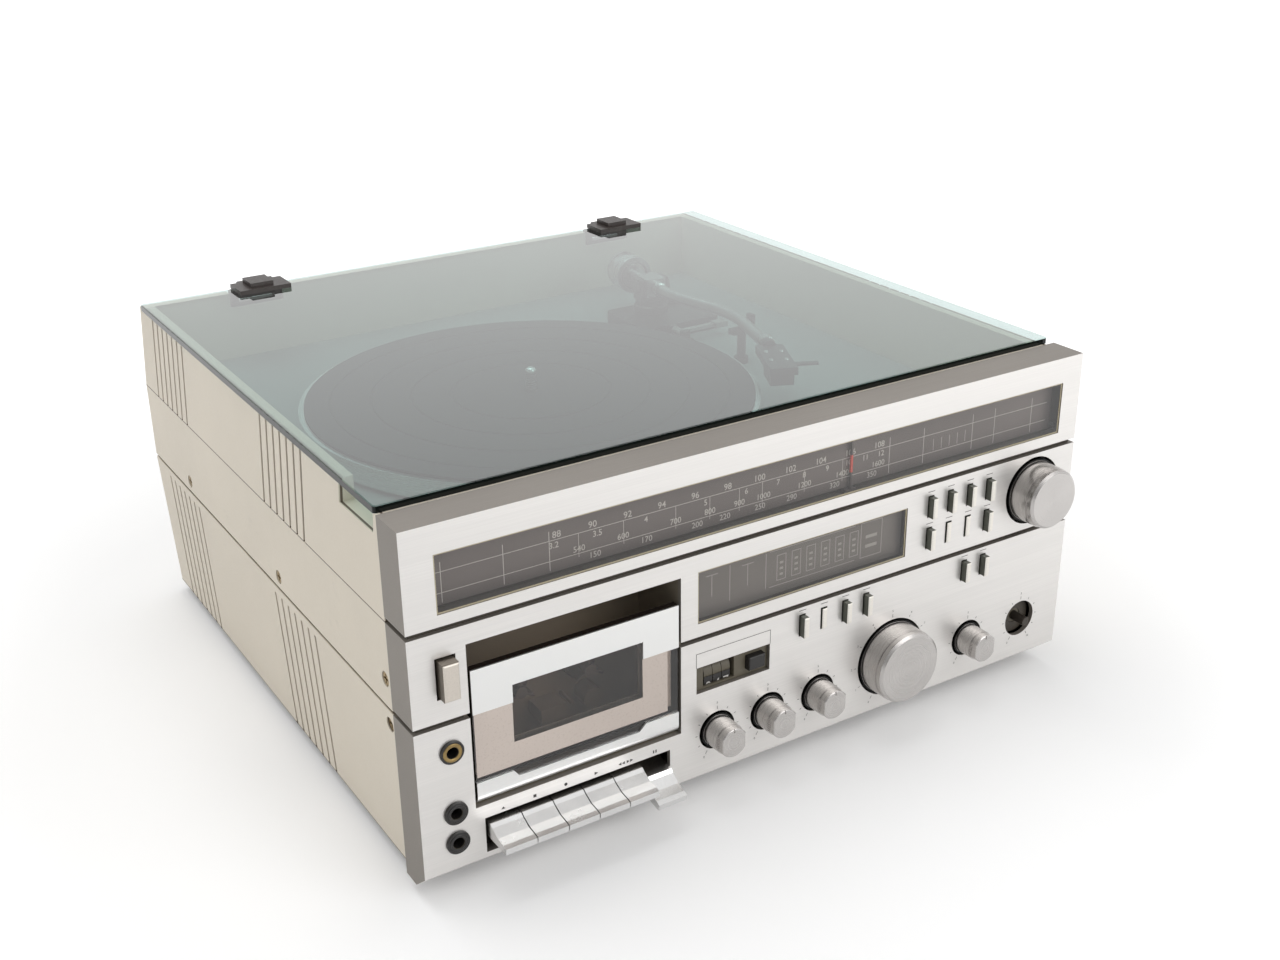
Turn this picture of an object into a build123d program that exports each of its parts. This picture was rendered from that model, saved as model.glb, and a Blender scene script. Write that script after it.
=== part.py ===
from build123d import *
import math
import os

# A music centre: turntable under a glass lid, cassette deck and tuner in one cabinet.
# Millimetres, +Z up, the front faces -Y, the origin is on the floor under the middle of the cabinet.

# Overall size; the piano keys reach furthest to the front
width = 450
depth = 428
key_reach = 20
foot_height = 8
lower_height = 97.5
middle_height = 50
dial_height = 55
groove = 3
panel_depth = 24
panel_skin = 3
return_wall = 2.5

# Clearances
running = 0.05
free = 0.3
moving = 0.5

# Cabinet shells
case_wall = 3
middle_wall = 4
shell_gap = 2
tongue = 2.5
side_draft = 4.3
rear_draft = 3.5
plinth_draft = 3.2
rim_wall = 8
deck_depth = 46.5
deck_thickness = 4
rib_count = 7
rib_pitch = 10.4
rib_width = 2.4
rib_depth = 1.6

# Glass lid
glass_thickness = 4
glass_drop = 1.5
glass_margin = 1
glass_front = 28.5
glass_depth = 389

# Levels
lower_bottom = foot_height
lower_top = lower_bottom + lower_height
middle_bottom = lower_top + groove
middle_top = middle_bottom + middle_height
dial_bottom = middle_top + groove
dial_top = dial_bottom + dial_height
glass_bottom = dial_top - glass_drop
glass_top = glass_bottom + glass_thickness
deck_top = glass_bottom - deck_depth
deck_bottom = deck_top - deck_thickness
plinth_height = glass_bottom - middle_top

# Edges of the cabinet
left = -width / 2
right = width / 2
front = key_reach - (depth + key_reach) / 2
back = front + depth
case_front = front + panel_depth
case_length = back - case_front
case_middle = (back + case_front) / 2

# Carrier frame behind the panels
carrier_thickness = 4
carrier_face = case_front - carrier_thickness
groove_depth = 2.5
well_floor = front + 5

# Cassette bay
bay_left = left + 31.2
bay_width = 127
bay_bottom = lower_bottom + 42.9
bay_top = middle_bottom + 39.2
bay_centre = bay_left + bay_width / 2
well_wall = 2
well_depth = 42
door_margin = 1.5
door_height = 80.5
door_thickness = 4
door_barrel = 6
door_pin = 1.5
trim_thickness = 1
hub_spacing = 42.5
reel_height = bay_bottom + 42

# Piano keys
key_count = 6
key_pitch = 18.8
key_gap = 0.6
key_slot_height = 21.4
key_slot_bottom = lower_bottom + 13.5
key_slot_left = left + 36
key_pivot = 35
key_axle = 2
key_travel = 11
pressed_key = 5

# Push buttons
button_width = 3.4
button_height = 12.8
button_reach = 5
button_travel = 3.5
button_length = 26
slot_margin = 0.6
power_margin = 1.2

# Knobs
shaft_radius = 3
bush_radius = 5
knob_reach = 17
small_knob = 9.5
small_well = 12
knob_flange = 1.2
knob_tip = 5
knob_step = 0.6
knob_flat = 1.8
knob_mark = 1.2
volume_radius = 23
volume_well = 25.2
tuning_radius = 19.3
tuning_well = 22
pot_radius = 8
pot_depth = 10

# Turntable
platter_x = left + 182.5
platter_y = front + 206
platter_radius = 144.5
rim_width = 7.5
platter_plate = 3
mat_radius = 141
mat_thickness = 3
mat_top = deck_top + 17
platter_gap = 2
spindle_radius = 3.57
spindle_rise = 15
axle_radius = 3
bearing_radius = 8
belt_ring = 60
pulley_radius = 4
motor_reach = 100
motor_radius = 17
motor_height = 30
motor_shaft = 1
belt_thickness = 0.6
belt_height = 4

# Tonearm
pivot_x = left + 346
pivot_y = front + 321
arm_height = deck_top + 29.2
arm_tube = 4
arm_lean = 7
arm_swivel_shaft = 4
yoke_pin = 1.5
weight_radius = 13.5
weight_length = 20
shell_length = 46
shell_width = 18
shell_thickness = 5


def box_at(x0, x1, y0, y1, z0, z1, mode=Mode.ADD):
    """A block given by its low and high sides, placed in the part that is being built."""
    with Locations(((x0 + x1) / 2, (y0 + y1) / 2, (z0 + z1) / 2)):
        Box(x1 - x0, y1 - y0, z1 - z0, mode=mode)


def rod_y(x, z, radius, y0, y1, mode=Mode.ADD):
    """A round bar along Y from y0 to y1."""
    with Locations(Location((x, (y0 + y1) / 2, z), (90, 0, 0))):
        Cylinder(radius, y1 - y0, mode=mode)


def rod_x(y, z, radius, x0, x1, mode=Mode.ADD):
    """A round bar along X from x0 to x1."""
    with Locations(Location(((x0 + x1) / 2, y, z), (0, 90, 0))):
        Cylinder(radius, x1 - x0, mode=mode)


def rod_z(x, y, radius, z0, z1, mode=Mode.ADD):
    """A round bar along Z from z0 to z1."""
    with Locations((x, y, (z0 + z1) / 2)):
        Cylinder(radius, z1 - z0, mode=mode)


def save(part, name):
    """Label a finished piece and write its file."""
    part.label = name
    export_step(part, f"parts/{name}.step")


os.makedirs("parts", exist_ok=True)

# Places of the controls on the front
knob_row = lower_bottom + 37
volume_row = lower_bottom + 43.5
push_row = lower_bottom + 86
treble_x = right - 33.1
bass_x = right - 78.4
volume_x = right - 140.5
rec_left_x = bay_left + bay_width + 24.3
rec_right_x = rec_left_x + 35.2
balance_x = rec_right_x + 36.4
tuning_x = right - 32.5
tuning_z = middle_bottom + 25.6
upper_row = middle_bottom + 36
low_row = middle_bottom + 15.5
cluster_x = right - 116
cluster_pitch = 15.3
selector_x = balance_x - 13
selector_pitch = 15.6
pair_x = cluster_x + 2 * cluster_pitch

small_knobs = [
    ("rec_knob_left", rec_left_x),
    ("rec_knob_right", rec_right_x),
    ("balance_knob", balance_x),
    ("bass_knob", bass_x),
]
wells = [(x, knob_row, small_well) for name, x in small_knobs]
wells.append((treble_x, knob_row, small_well))
wells.append((volume_x, volume_row, volume_well))
wells.append((tuning_x, tuning_z, tuning_well))
lower_wells = [well for well in wells if well[1] < lower_top]

# Each button: name, x, z, and whether it rests pressed in
buttons = []
for column in range(4):
    x = cluster_x + column * cluster_pitch
    buttons.append((f"tuner_button_{column + 1}", x, upper_row, False))
for column in range(4):
    x = cluster_x + column * cluster_pitch
    buttons.append((f"source_button_{column + 1}", x, low_row, column in (1, 2)))
for column in range(4):
    x = selector_x + column * selector_pitch
    buttons.append((f"mode_button_{column + 1}", x, push_row, column == 1))
for column in range(2):
    x = pair_x + column * cluster_pitch
    buttons.append((f"filter_button_{column + 1}", x, push_row, False))
lower_buttons = [button for button in buttons if button[2] < lower_top]
middle_buttons = [button for button in buttons if button[2] > lower_top]

# Windows and slots in the panels
dial_left = left + 17.3
dial_right = right - 14.8
dial_low = dial_bottom + 6.5
dial_high = dial_bottom + 39
level_left = left + 169.2
level_width = 147
level_low = middle_bottom + 8
level_high = middle_bottom + 39.5
counter_left = left + 168.4
counter_width = 50
counter_low = lower_bottom + 64.5
counter_high = lower_bottom + 81
power_x = left + 19.8
power_z = middle_bottom + 24.5
power_width = 9
power_height = 21
jack_x = left + 19.8
jack_heights = [lower_bottom + 81.6, lower_bottom + 44.8, lower_bottom + 26.7]
jack_radius = 5.5
jack_flange = 6.6
jack_bore = 3.25
jack_length = 26
bevel_depth = 12
bevel_height = 10.5
key_slot_right = key_slot_left + key_count * key_pitch + 2


def cut_slots(group, margin, y0, y1):
    """Openings for a group of push buttons between two depths."""
    for name, x, z, pressed in group:
        half_x = button_width / 2 + margin
        half_z = button_height / 2 + margin
        box_at(x - half_x, x + half_x, y0, y1, z - half_z, z + half_z, Mode.SUBTRACT)


def cut_wells(group, y0, y1):
    """Round openings for the knobs between two depths."""
    for x, z, radius in group:
        rod_y(x, z, radius, y0, y1, Mode.SUBTRACT)


def cut_bay(z0, z1):
    """The cassette bay's notch: as wide as the bay in the skin, and as the tray behind it."""
    side = well_wall + free
    box_at(bay_left, bay_left + bay_width, front - 1, front + panel_skin + 1, z0, z1, Mode.SUBTRACT)
    behind = front + panel_skin
    low = max(z0, bay_bottom - side)
    high = min(z1, bay_top + side)
    box_at(bay_left - side, bay_left + bay_width + side, behind, case_front + 1, low, high, Mode.SUBTRACT)


# Lower front panel, with its bevelled foot
with BuildPart() as lower_panel:
    with BuildSketch(Plane.YZ):
        with BuildLine():
            Polyline(
                (front, lower_top),
                (front, lower_bottom + bevel_height),
                (front + bevel_depth, lower_bottom),
                (case_front, lower_bottom),
                (case_front, lower_top),
                close=True,
            )
        make_face()
    extrude(amount=width / 2, both=True)
    with BuildSketch(Plane.YZ):
        with BuildLine():
            Polyline(
                (front + panel_skin, lower_top - return_wall),
                (front + panel_skin, lower_bottom + bevel_height + 1),
                (front + bevel_depth + 1, lower_bottom + return_wall),
                (case_front, lower_bottom + return_wall),
                (case_front, lower_top - return_wall),
                close=True,
            )
        make_face()
    extrude(amount=width / 2 - return_wall, both=True, mode=Mode.SUBTRACT)
    inner = width / 2 - return_wall
    box_at(-inner, inner, carrier_face, case_front, lower_bottom + return_wall, lower_top, Mode.SUBTRACT)
    cut_bay(bay_bottom, lower_top + 1)
    cut_wells(lower_wells, front - 1, front + panel_skin + 1)
    cut_slots(lower_buttons, slot_margin, front - 1, front + panel_skin + 1)
    for z in jack_heights:
        rod_y(jack_x, z, jack_radius + free, front - 1, front + panel_skin + 1, Mode.SUBTRACT)
    slot_top = key_slot_bottom + key_slot_height
    box_at(key_slot_left, key_slot_right, front - 1, front + panel_skin + 1,
           key_slot_bottom, slot_top, Mode.SUBTRACT)
    box_at(counter_left, counter_left + counter_width, front - 1, front + panel_skin + 1,
           counter_low, counter_high, Mode.SUBTRACT)
save(lower_panel.part, "lower_panel")

# Middle front panel
with BuildPart() as middle_panel:
    box_at(left, right, front, case_front, middle_bottom, middle_top)
    box_at(-inner, inner, front + panel_skin, case_front,
           middle_bottom + return_wall, middle_top - return_wall, Mode.SUBTRACT)
    box_at(-inner, inner, carrier_face, case_front, middle_bottom, middle_top, Mode.SUBTRACT)
    cut_bay(middle_bottom - 1, bay_top)
    cut_wells(wells[-1:], front - 1, front + panel_skin + 1)
    cut_slots(middle_buttons, slot_margin, front - 1, front + panel_skin + 1)
    box_at(level_left, level_left + level_width, front - 1, front + panel_skin + 1,
           level_low, level_high, Mode.SUBTRACT)
    half_x = power_width / 2 + power_margin
    half_z = power_height / 2 + power_margin
    box_at(power_x - half_x, power_x + half_x, front - 1, front + panel_skin + 1,
           power_z - half_z, power_z + half_z, Mode.SUBTRACT)
save(middle_panel.part, "middle_panel")

# Dial panel at the top
with BuildPart() as dial_panel:
    box_at(left, right, front, case_front, dial_bottom, dial_top)
    box_at(-inner, inner, front + panel_skin, case_front,
           dial_bottom + return_wall, dial_top - return_wall, Mode.SUBTRACT)
    box_at(-inner, inner, carrier_face, case_front,
           dial_bottom, dial_top - return_wall, Mode.SUBTRACT)
    box_at(dial_left, dial_right, front - 1, front + panel_skin + 1, dial_low, dial_high, Mode.SUBTRACT)
save(dial_panel.part, "dial_panel")

# Printed plates behind the windows, and the rail of the dial pointer
plate_thickness = 1.5
dial_plate_face = front + 9
level_plate_face = front + 6
plates = [
    (dial_left - 1, dial_right + 1, dial_low - free, dial_high + 1, dial_plate_face),
    (level_left - 1, level_left + level_width + 1, level_low - 1, level_high + 1, level_plate_face),
]
rail_radius = 1
rail_y = front + 13
rail_z = dial_low - 2.1

# Carrier frame: back plate, bars in the grooves, and the floors of the knob wells
carrier_low = lower_bottom + return_wall
carrier_high = dial_top - return_wall
with BuildPart() as panel_frame:
    box_at(-inner, inner, carrier_face, case_front, carrier_low, carrier_high)
    for z in (lower_top, middle_top):
        box_at(-inner, inner, front + groove_depth, carrier_face, z, z + groove)
    for x, z, radius in wells:
        rod_y(x, z, radius - 0.5, well_floor, carrier_face)
    side = well_wall + free
    box_at(bay_left - side, bay_left + bay_width + side, front, case_front + 1,
           bay_bottom - side, bay_top + side, Mode.SUBTRACT)
    for x, z, radius in wells:
        rod_y(x, z, bush_radius, front, case_front + 1, Mode.SUBTRACT)
    cut_slots(buttons, free, front, case_front + 1)
    half_x = power_width / 2 + free
    half_z = power_height / 2 + free
    box_at(power_x - half_x, power_x + half_x, front, case_front + 1,
           power_z - half_z, power_z + half_z, Mode.SUBTRACT)
    for z in jack_heights:
        rod_y(jack_x, z, jack_radius + free, front, case_front + 1, Mode.SUBTRACT)
    box_at(key_slot_left, key_slot_right, front, case_front + 1,
           key_slot_bottom - 2, key_slot_bottom + key_slot_height, Mode.SUBTRACT)
    box_at(counter_left, counter_left + counter_width, carrier_face - 1, case_front + 1,
           counter_low, counter_high, Mode.SUBTRACT)
    ear = middle_wall + 4
    for side_x in (-1, 1):
        for z in (middle_bottom + 15, lower_top - 9):
            low_x = min(side_x * (right - middle_wall), side_x * (right - ear))
            box_at(low_x, low_x + 4, case_front, case_front + 12, z - 5, z + 5)
            rod_x(case_front + 6, z, 1.5, low_x - 1, low_x + 5, Mode.SUBTRACT)
    for x0, x1, z0, z1, face in plates:
        box_at(x0, x1, face, face + plate_thickness, z0, z1)
        for x in (x0 + 12, (x0 + x1) / 2, x1 - 12):
            middle = (z0 + z1) / 2
            box_at(x - 4, x + 4, face + plate_thickness, carrier_face, middle - 8, middle + 8)
    for side_x in (-1, 1):
        edge = side_x * (width / 2 - 8)
        box_at(min(edge, edge + side_x * 4), max(edge, edge + side_x * 4), rail_y - 1.5, carrier_face,
               rail_z - 1.5, rail_z + 1.5)
    rod_x(rail_y, rail_z, rail_radius, left + 8, right - 8)
save(panel_frame.part, "panel_frame")
screw_ears = [(case_front + 6, middle_bottom + 15), (case_front + 6, lower_top - 9)]
screw_tabs = [(front + 183.4, middle_bottom + 6.3), (front + 348.6, middle_bottom + 6.3)]


def side_grooves(plane, centre, height, low):
    """A group of upright grooves cut into a wall; the sketch's X runs along the wall, Y up it."""
    with BuildSketch(plane) as strips:
        with Locations((centre, low + height / 2)):
            with GridLocations(rib_pitch, 1, rib_count, 1):
                Rectangle(rib_width, height)
    extrude(strips.sketch, amount=-rib_depth, mode=Mode.SUBTRACT)


# Draft angles of the shells' walls
lower_lean = math.atan2(side_draft, lower_height)
plinth_lean = math.atan2(plinth_draft, plinth_height)
rear_rib = front + 367.5
front_rib = front + 162.3
back_rib = width / 2 - 86.5

# Lower case: an open tray that narrows towards the floor
with BuildPart() as bottom_case:
    with BuildSketch(Plane.XY.offset(lower_bottom)):
        with Locations((0, case_middle - rear_draft / 2)):
            Rectangle(width - 2 * side_draft, case_length - rear_draft)
    with BuildSketch(Plane.XY.offset(lower_top)):
        with Locations((0, case_middle)):
            Rectangle(width, case_length)
    loft(ruled=True)
    with BuildSketch(Plane.XY.offset(lower_bottom + case_wall)):
        with Locations((0, case_middle - rear_draft / 2 - case_wall / 2)):
            Rectangle(width - 2 * side_draft - 2 * case_wall, case_length - rear_draft - case_wall)
    with BuildSketch(Plane.XY.offset(lower_top)):
        with Locations((0, case_middle - case_wall / 2)):
            Rectangle(width - 2 * case_wall, case_length - case_wall)
    loft(ruled=True, mode=Mode.SUBTRACT)
    for side_x in (-1, 1):
        wall = Plane(
            origin=(side_x * right, 0, lower_top),
            x_dir=(0, side_x, 0),
            z_dir=(side_x * math.cos(lower_lean), 0, -math.sin(lower_lean)),
        )
        for y in (rear_rib, front_rib):
            side_grooves(wall, side_x * y, lower_height - 5, -lower_height)
        for y, z in screw_tabs:
            outer = right - middle_wall
            low_x = min(side_x * outer, side_x * (outer - 4))
            box_at(low_x, low_x + 4, y - 7, y + 7, lower_top - 8, z + 5)
            low_x = min(side_x * (outer + 1.5), side_x * (outer - 1))
            box_at(low_x, low_x + 2.5, y - 7, y + 7, lower_top - 8, lower_top)
            low_x = min(side_x * outer, side_x * (outer - 4))
            rod_x(y, z, 1.5, low_x - 1, low_x + 5, Mode.SUBTRACT)
        y, z = screw_ears[1]
        rod_x(y, z, 1.5, side_x * right - 8, side_x * right + 8, Mode.SUBTRACT)
        rod_x(y, z, 4.2, side_x * (right - 1) - 2, side_x * (right - 1) + 2, Mode.SUBTRACT)
save(bottom_case.part, "bottom_case")

# Opening for the socket panel in the rear wall
socket_width = 300
socket_low = middle_bottom + 8
socket_high = middle_top - 8

# Middle case: three walls with a tongue that stands on the lower case
with BuildPart() as middle_case:
    box_at(left, right, case_front, back, lower_top + shell_gap, middle_top)
    box_at(left + tongue, right - tongue, case_front, back - tongue, lower_top, lower_top + shell_gap)
    box_at(left + middle_wall, right - middle_wall, case_front, back - middle_wall,
           lower_top, middle_top, Mode.SUBTRACT)
    for side_x in (-1, 1):
        for y, z in screw_tabs + screw_ears[:1]:
            rod_x(y, z, 1.5, side_x * right - 8, side_x * right + 8, Mode.SUBTRACT)
            rod_x(y, z, 4.2, side_x * (right - 1) - 1, side_x * (right - 1) + 1, Mode.SUBTRACT)
    box_at(-socket_width / 2, socket_width / 2, back - middle_wall - 1, back + 1,
           socket_low, socket_high, Mode.SUBTRACT)
save(middle_case.part, "middle_case")

# Plinth: top shell with the deck, a wide rim for the glass, and notches for the hinges
hinge_x = width / 2 - 82
clamp_width = 36
clamp_reach = 20
hinge_y = back - 5.5
hinge_z = glass_bottom - 1
knuckle_radius = 4
hinge_pin = 1.5
notch_low = hinge_z - 9
bracket_base = 3
ear_width = 5
finger_low = front + 35
finger_high = front + 78
finger_depth = 13
inner_x = width / 2 - plinth_draft - rim_wall
inner_front = case_front + 6
inner_back = back - rim_wall
motor_angle = math.radians(215)
motor_x = platter_x + motor_reach * math.cos(motor_angle)
motor_y = platter_y + motor_reach * math.sin(motor_angle)
with BuildPart() as plinth:
    with BuildSketch(Plane.XY.offset(middle_top)):
        with Locations((0, case_middle)):
            Rectangle(width, case_length)
    with BuildSketch(Plane.XY.offset(glass_bottom)):
        with Locations((0, case_middle - 0.5)):
            Rectangle(width - 2 * plinth_draft, case_length - 1)
    loft(ruled=True)
    box_at(-inner_x, inner_x, inner_front, inner_back, deck_top, glass_bottom + 1, Mode.SUBTRACT)
    box_at(left + middle_wall, right - middle_wall, inner_front, back - middle_wall,
           middle_top, deck_bottom, Mode.SUBTRACT)
    for side_x in (-1, 1):
        wall = Plane(
            origin=(side_x * right, 0, middle_top),
            x_dir=(0, side_x, 0),
            z_dir=(side_x * math.cos(plinth_lean), 0, math.sin(plinth_lean)),
        )
        for y in (rear_rib, front_rib):
            side_grooves(wall, side_x * y, plinth_height + 2, 0)
        x = side_x * hinge_x
        half = clamp_width / 2 + 1
        box_at(x - half, x + half, inner_back - 2, back + 1, notch_low, glass_bottom + 1, Mode.SUBTRACT)
    rear_wall = Plane(origin=(0, back, middle_top), x_dir=(-1, 0, 0), z_dir=(0, 1, 0))
    for x in (-back_rib + 15, back_rib - 15):
        side_grooves(rear_wall, x, plinth_height + 2, 0)
    box_at(left - 1, -inner_x + 1, finger_low, finger_high,
           glass_bottom - finger_depth, glass_bottom + 1, Mode.SUBTRACT)
    rod_z(platter_x, platter_y, bearing_radius, deck_bottom - 1, deck_top + 1, Mode.SUBTRACT)
    rod_z(motor_x, motor_y, pulley_radius + 2, deck_bottom - 1, deck_top + 1, Mode.SUBTRACT)
save(plinth.part, "plinth")

# Feet: four rubber feet under the lower case
foot_radius = 13
foot_x = width / 2 - 42
foot_reach = case_length / 2 - 40
with BuildPart() as feet:
    for x in (-foot_x, foot_x):
        for y in (case_middle - foot_reach, case_middle + foot_reach):
            rod_z(x, y, foot_radius, 0, foot_height)
    chamfer(feet.edges().group_by(Axis.Z)[0], 1.5)
save(feet.part, "feet")

# Side screws, heads sunk in the walls
with BuildPart() as case_screws:
    for side_x in (-1, 1):
        for y, z in screw_tabs + screw_ears:
            seat = side_x * (right - 2) if z > lower_top else side_x * (right - 3)
            tip = seat - side_x * 6
            rod_x(y, z, 1.5 - running, min(seat, tip), max(seat, tip))
            cap = seat + side_x * 1.6
            rod_x(y, z, 3.6, min(seat, cap), max(seat, cap))
            slot = cap - side_x * 0.6
            slot_low = min(slot, cap + side_x)
            box_at(slot_low, slot_low + 1.6, y - 2.6, y + 2.6, z - 0.5, z + 0.5, Mode.SUBTRACT)
            box_at(slot_low, slot_low + 1.6, y - 0.5, y + 0.5, z - 2.6, z + 2.6, Mode.SUBTRACT)
save(case_screws.part, "case_screws")

# Hinge brackets on the plinth's rear wall, each with its pin
with BuildPart() as hinge_brackets:
    for side_x in (-1, 1):
        x = side_x * hinge_x
        half = clamp_width / 2
        box_at(x - half, x + half, inner_back, back - 1.2, notch_low, notch_low + bracket_base)
        for end in (-1, 1):
            low_x = x + end * (half - ear_width / 2) - ear_width / 2
            box_at(low_x, low_x + ear_width, hinge_y - 3.2, hinge_y + 3.2,
                   notch_low + bracket_base, hinge_z)
            rod_x(hinge_y, hinge_z, 3.2, low_x, low_x + ear_width)
        rod_x(hinge_y, hinge_z, hinge_pin, x - half, x + half)
save(hinge_brackets.part, "hinge_brackets")

# Glass lid
glass_x = width / 2 - glass_margin
glass_y = front + glass_front
with BuildPart() as lid_glass:
    box_at(-glass_x, glass_x, glass_y, glass_y + glass_depth, glass_bottom, glass_top)
    fillet(lid_glass.edges().filter_by(Axis.Z), 2)
    chamfer(lid_glass.faces().sort_by(Axis.Z)[-1].edges(), 0.5)
save(lid_glass.part, "lid_glass")

# Clamps: each grips the rear edge of the glass and carries the hinge knuckle
glass_rear = glass_y + glass_depth
with BuildPart() as lid_clamps:
    for side_x in (-1, 1):
        x = side_x * hinge_x
        half = clamp_width / 2
        knuckle = half - ear_width - moving
        box_at(x - half, x + half, glass_rear - clamp_reach, glass_rear + 1.5, glass_top, glass_top + 3)
        box_at(x - half + 9, x + half - 11, glass_rear - clamp_reach + 4, glass_rear + 1.5,
               glass_top + 3, glass_top + 6)
        box_at(x - knuckle, x + knuckle, glass_rear, hinge_y, hinge_z - 3, glass_top + 3)
        rod_x(hinge_y, hinge_z, knuckle_radius, x - knuckle, x + knuckle)
        rod_x(hinge_y, hinge_z, hinge_pin + running, x - half - 1, x + half + 1, Mode.SUBTRACT)
save(lid_clamps.part, "lid_clamps")

# Platter with its rim, hub, belt ring and spindle
platter_top = mat_top - mat_thickness
platter_low = deck_top + platter_gap
bearing_top = deck_top + 3
with BuildPart() as platter:
    rod_z(platter_x, platter_y, platter_radius, platter_low, platter_top + 1.2)
    rod_z(platter_x, platter_y, mat_radius + free, platter_top, platter_top + 2, Mode.SUBTRACT)
    rod_z(platter_x, platter_y, platter_radius - rim_width, platter_low - 1,
          platter_top - platter_plate, Mode.SUBTRACT)
    chamfer(platter.edges().filter_by(GeomType.CIRCLE).sort_by(SortBy.RADIUS)[-1], 1)
    rod_z(platter_x, platter_y, belt_ring, platter_low + 1, platter_top - platter_plate)
    rod_z(platter_x, platter_y, belt_ring - 4, platter_low, platter_top - platter_plate, Mode.SUBTRACT)
    rod_z(platter_x, platter_y, axle_radius + 9, bearing_top + free, platter_top)
    rod_z(platter_x, platter_y, axle_radius, deck_bottom - 12, bearing_top + 1)
    rod_z(platter_x, platter_y, spindle_radius, bearing_top + 1, mat_top + spindle_rise)
    fillet(platter.edges().group_by(Axis.Z)[-1], spindle_radius - 1)
save(platter.part, "platter")

# Rubber mat with rings
with BuildPart() as platter_mat:
    rod_z(platter_x, platter_y, mat_radius, platter_top, mat_top)
    rod_z(platter_x, platter_y, spindle_radius + free, platter_top - 1, mat_top + 1, Mode.SUBTRACT)
    for radius in (50, 75, 100, 125):
        with Locations((platter_x, platter_y, mat_top)):
            Torus(radius, 0.7, mode=Mode.SUBTRACT)
save(platter_mat.part, "platter_mat")

# Motor pulley on the motor's shaft
belt_low = platter_low + 3
with BuildPart() as motor_pulley:
    rod_z(motor_x, motor_y, pulley_radius, deck_top + 2, platter_top - platter_plate - 1)
    rod_z(motor_x, motor_y, pulley_radius + 1, deck_top + 2, deck_top + 3)
    rod_z(motor_x, motor_y, motor_shaft + running, deck_top, platter_top, Mode.SUBTRACT)
save(motor_pulley.part, "motor_pulley")

# Main bearing, motor and belt
with BuildPart() as belt_drive:
    rod_z(platter_x, platter_y, bearing_radius, deck_bottom - 15, bearing_top)
    rod_z(platter_x, platter_y, bearing_radius + 6, deck_bottom - 3, deck_bottom)
    rod_z(platter_x, platter_y, axle_radius + running, deck_bottom - 12 - free, bearing_top + 1,
          Mode.SUBTRACT)
    rod_z(motor_x, motor_y, motor_radius, deck_bottom - motor_height, deck_bottom)
    rod_z(motor_x, motor_y, motor_shaft, deck_bottom, platter_top - platter_plate - 2)
    belt = []
    for spread in (free + belt_thickness, free):
        with BuildSketch(Plane.XY.offset(belt_low), mode=Mode.PRIVATE) as loop:
            with Locations((platter_x, platter_y)):
                Circle(belt_ring + spread)
            with Locations((motor_x, motor_y)):
                Circle(pulley_radius + spread)
            make_hull()
        belt.append(loop.sketch)
    extrude(belt[0] - belt[1], amount=belt_height)
save(belt_drive.part, "belt_drive")

# Arm base with the pillar, the rest post and the ears of the cue lever
base_x = left + 350
base_y = front + 312
base_height = 9.5
pillar_radius = 11
pillar_top = deck_top + 17
rest_x = pivot_x + 4.7
rest_y = pivot_y - 107.6
lever_x = left + 338
lever_y = front + 272
lever_z = deck_top + 8
lever_length = 40
with BuildPart() as arm_mounts:
    box_at(base_x - 32, base_x + 32, base_y - 28, base_y + 28, deck_top, deck_top + base_height)
    fillet(arm_mounts.edges().filter_by(Axis.Z), 4)
    rod_z(pivot_x, pivot_y, pillar_radius, deck_top + base_height, pillar_top)
    rod_z(pivot_x, pivot_y, arm_swivel_shaft + running, deck_top + 3, pillar_top + 1, Mode.SUBTRACT)
    rod_z(rest_x, rest_y, 5, deck_top, deck_top + 4)
    rod_z(rest_x, rest_y, 3, deck_top + 4, arm_height - arm_tube - 4)
    box_at(rest_x - 9, rest_x + 9, rest_y - 3, rest_y + 3,
           arm_height - arm_tube - 4, arm_height - arm_tube - free)
    box_at(rest_x + 6, rest_x + 9, rest_y - 3, rest_y + 3,
           arm_height - arm_tube - free, arm_height + arm_tube)
    box_at(lever_x - 6, lever_x + 6, lever_y - 10, lever_y + 10, deck_top, lever_z - 3.5)
    for end in (-1, 1):
        y = lever_y + end * 8
        box_at(lever_x - 3, lever_x + 3, y - 2, y + 2, lever_z - 3.5, lever_z + 3)
    rod_y(lever_x, lever_z, 1.2, lever_y - 10, lever_y + 10)
save(arm_mounts.part, "arm_mounts")

# Cue lever
with BuildPart() as cue_lever:
    rod_y(lever_x, lever_z, 3, lever_y - 5.5, lever_y + 5.5)
    box_at(lever_x, lever_x + lever_length, lever_y - 2, lever_y + 2, lever_z - 1.2, lever_z + 1.2)
    box_at(lever_x + lever_length - 10, lever_x + lever_length, lever_y - 4, lever_y + 4,
           lever_z - 1.8, lever_z + 1.8)
    rod_y(lever_x, lever_z, 1.2 + running, lever_y - 7, lever_y + 7, Mode.SUBTRACT)
save(cue_lever.part, "cue_lever")

# Tonearm's own plane: its Y runs along the arm, towards the counterweight
lean = math.radians(arm_lean)
arm_plane = Plane(
    origin=(pivot_x, pivot_y, arm_height),
    x_dir=(math.cos(lean), -math.sin(lean), 0),
    z_dir=(0, 0, 1),
)
arm_place = Location((pivot_x, pivot_y, 0), (0, 0, -arm_lean))
arm_block = 7.5
yoke_gap = 0.7
cheek = 3
yoke_low = pillar_top + moving
yoke_disc = 3

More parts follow.
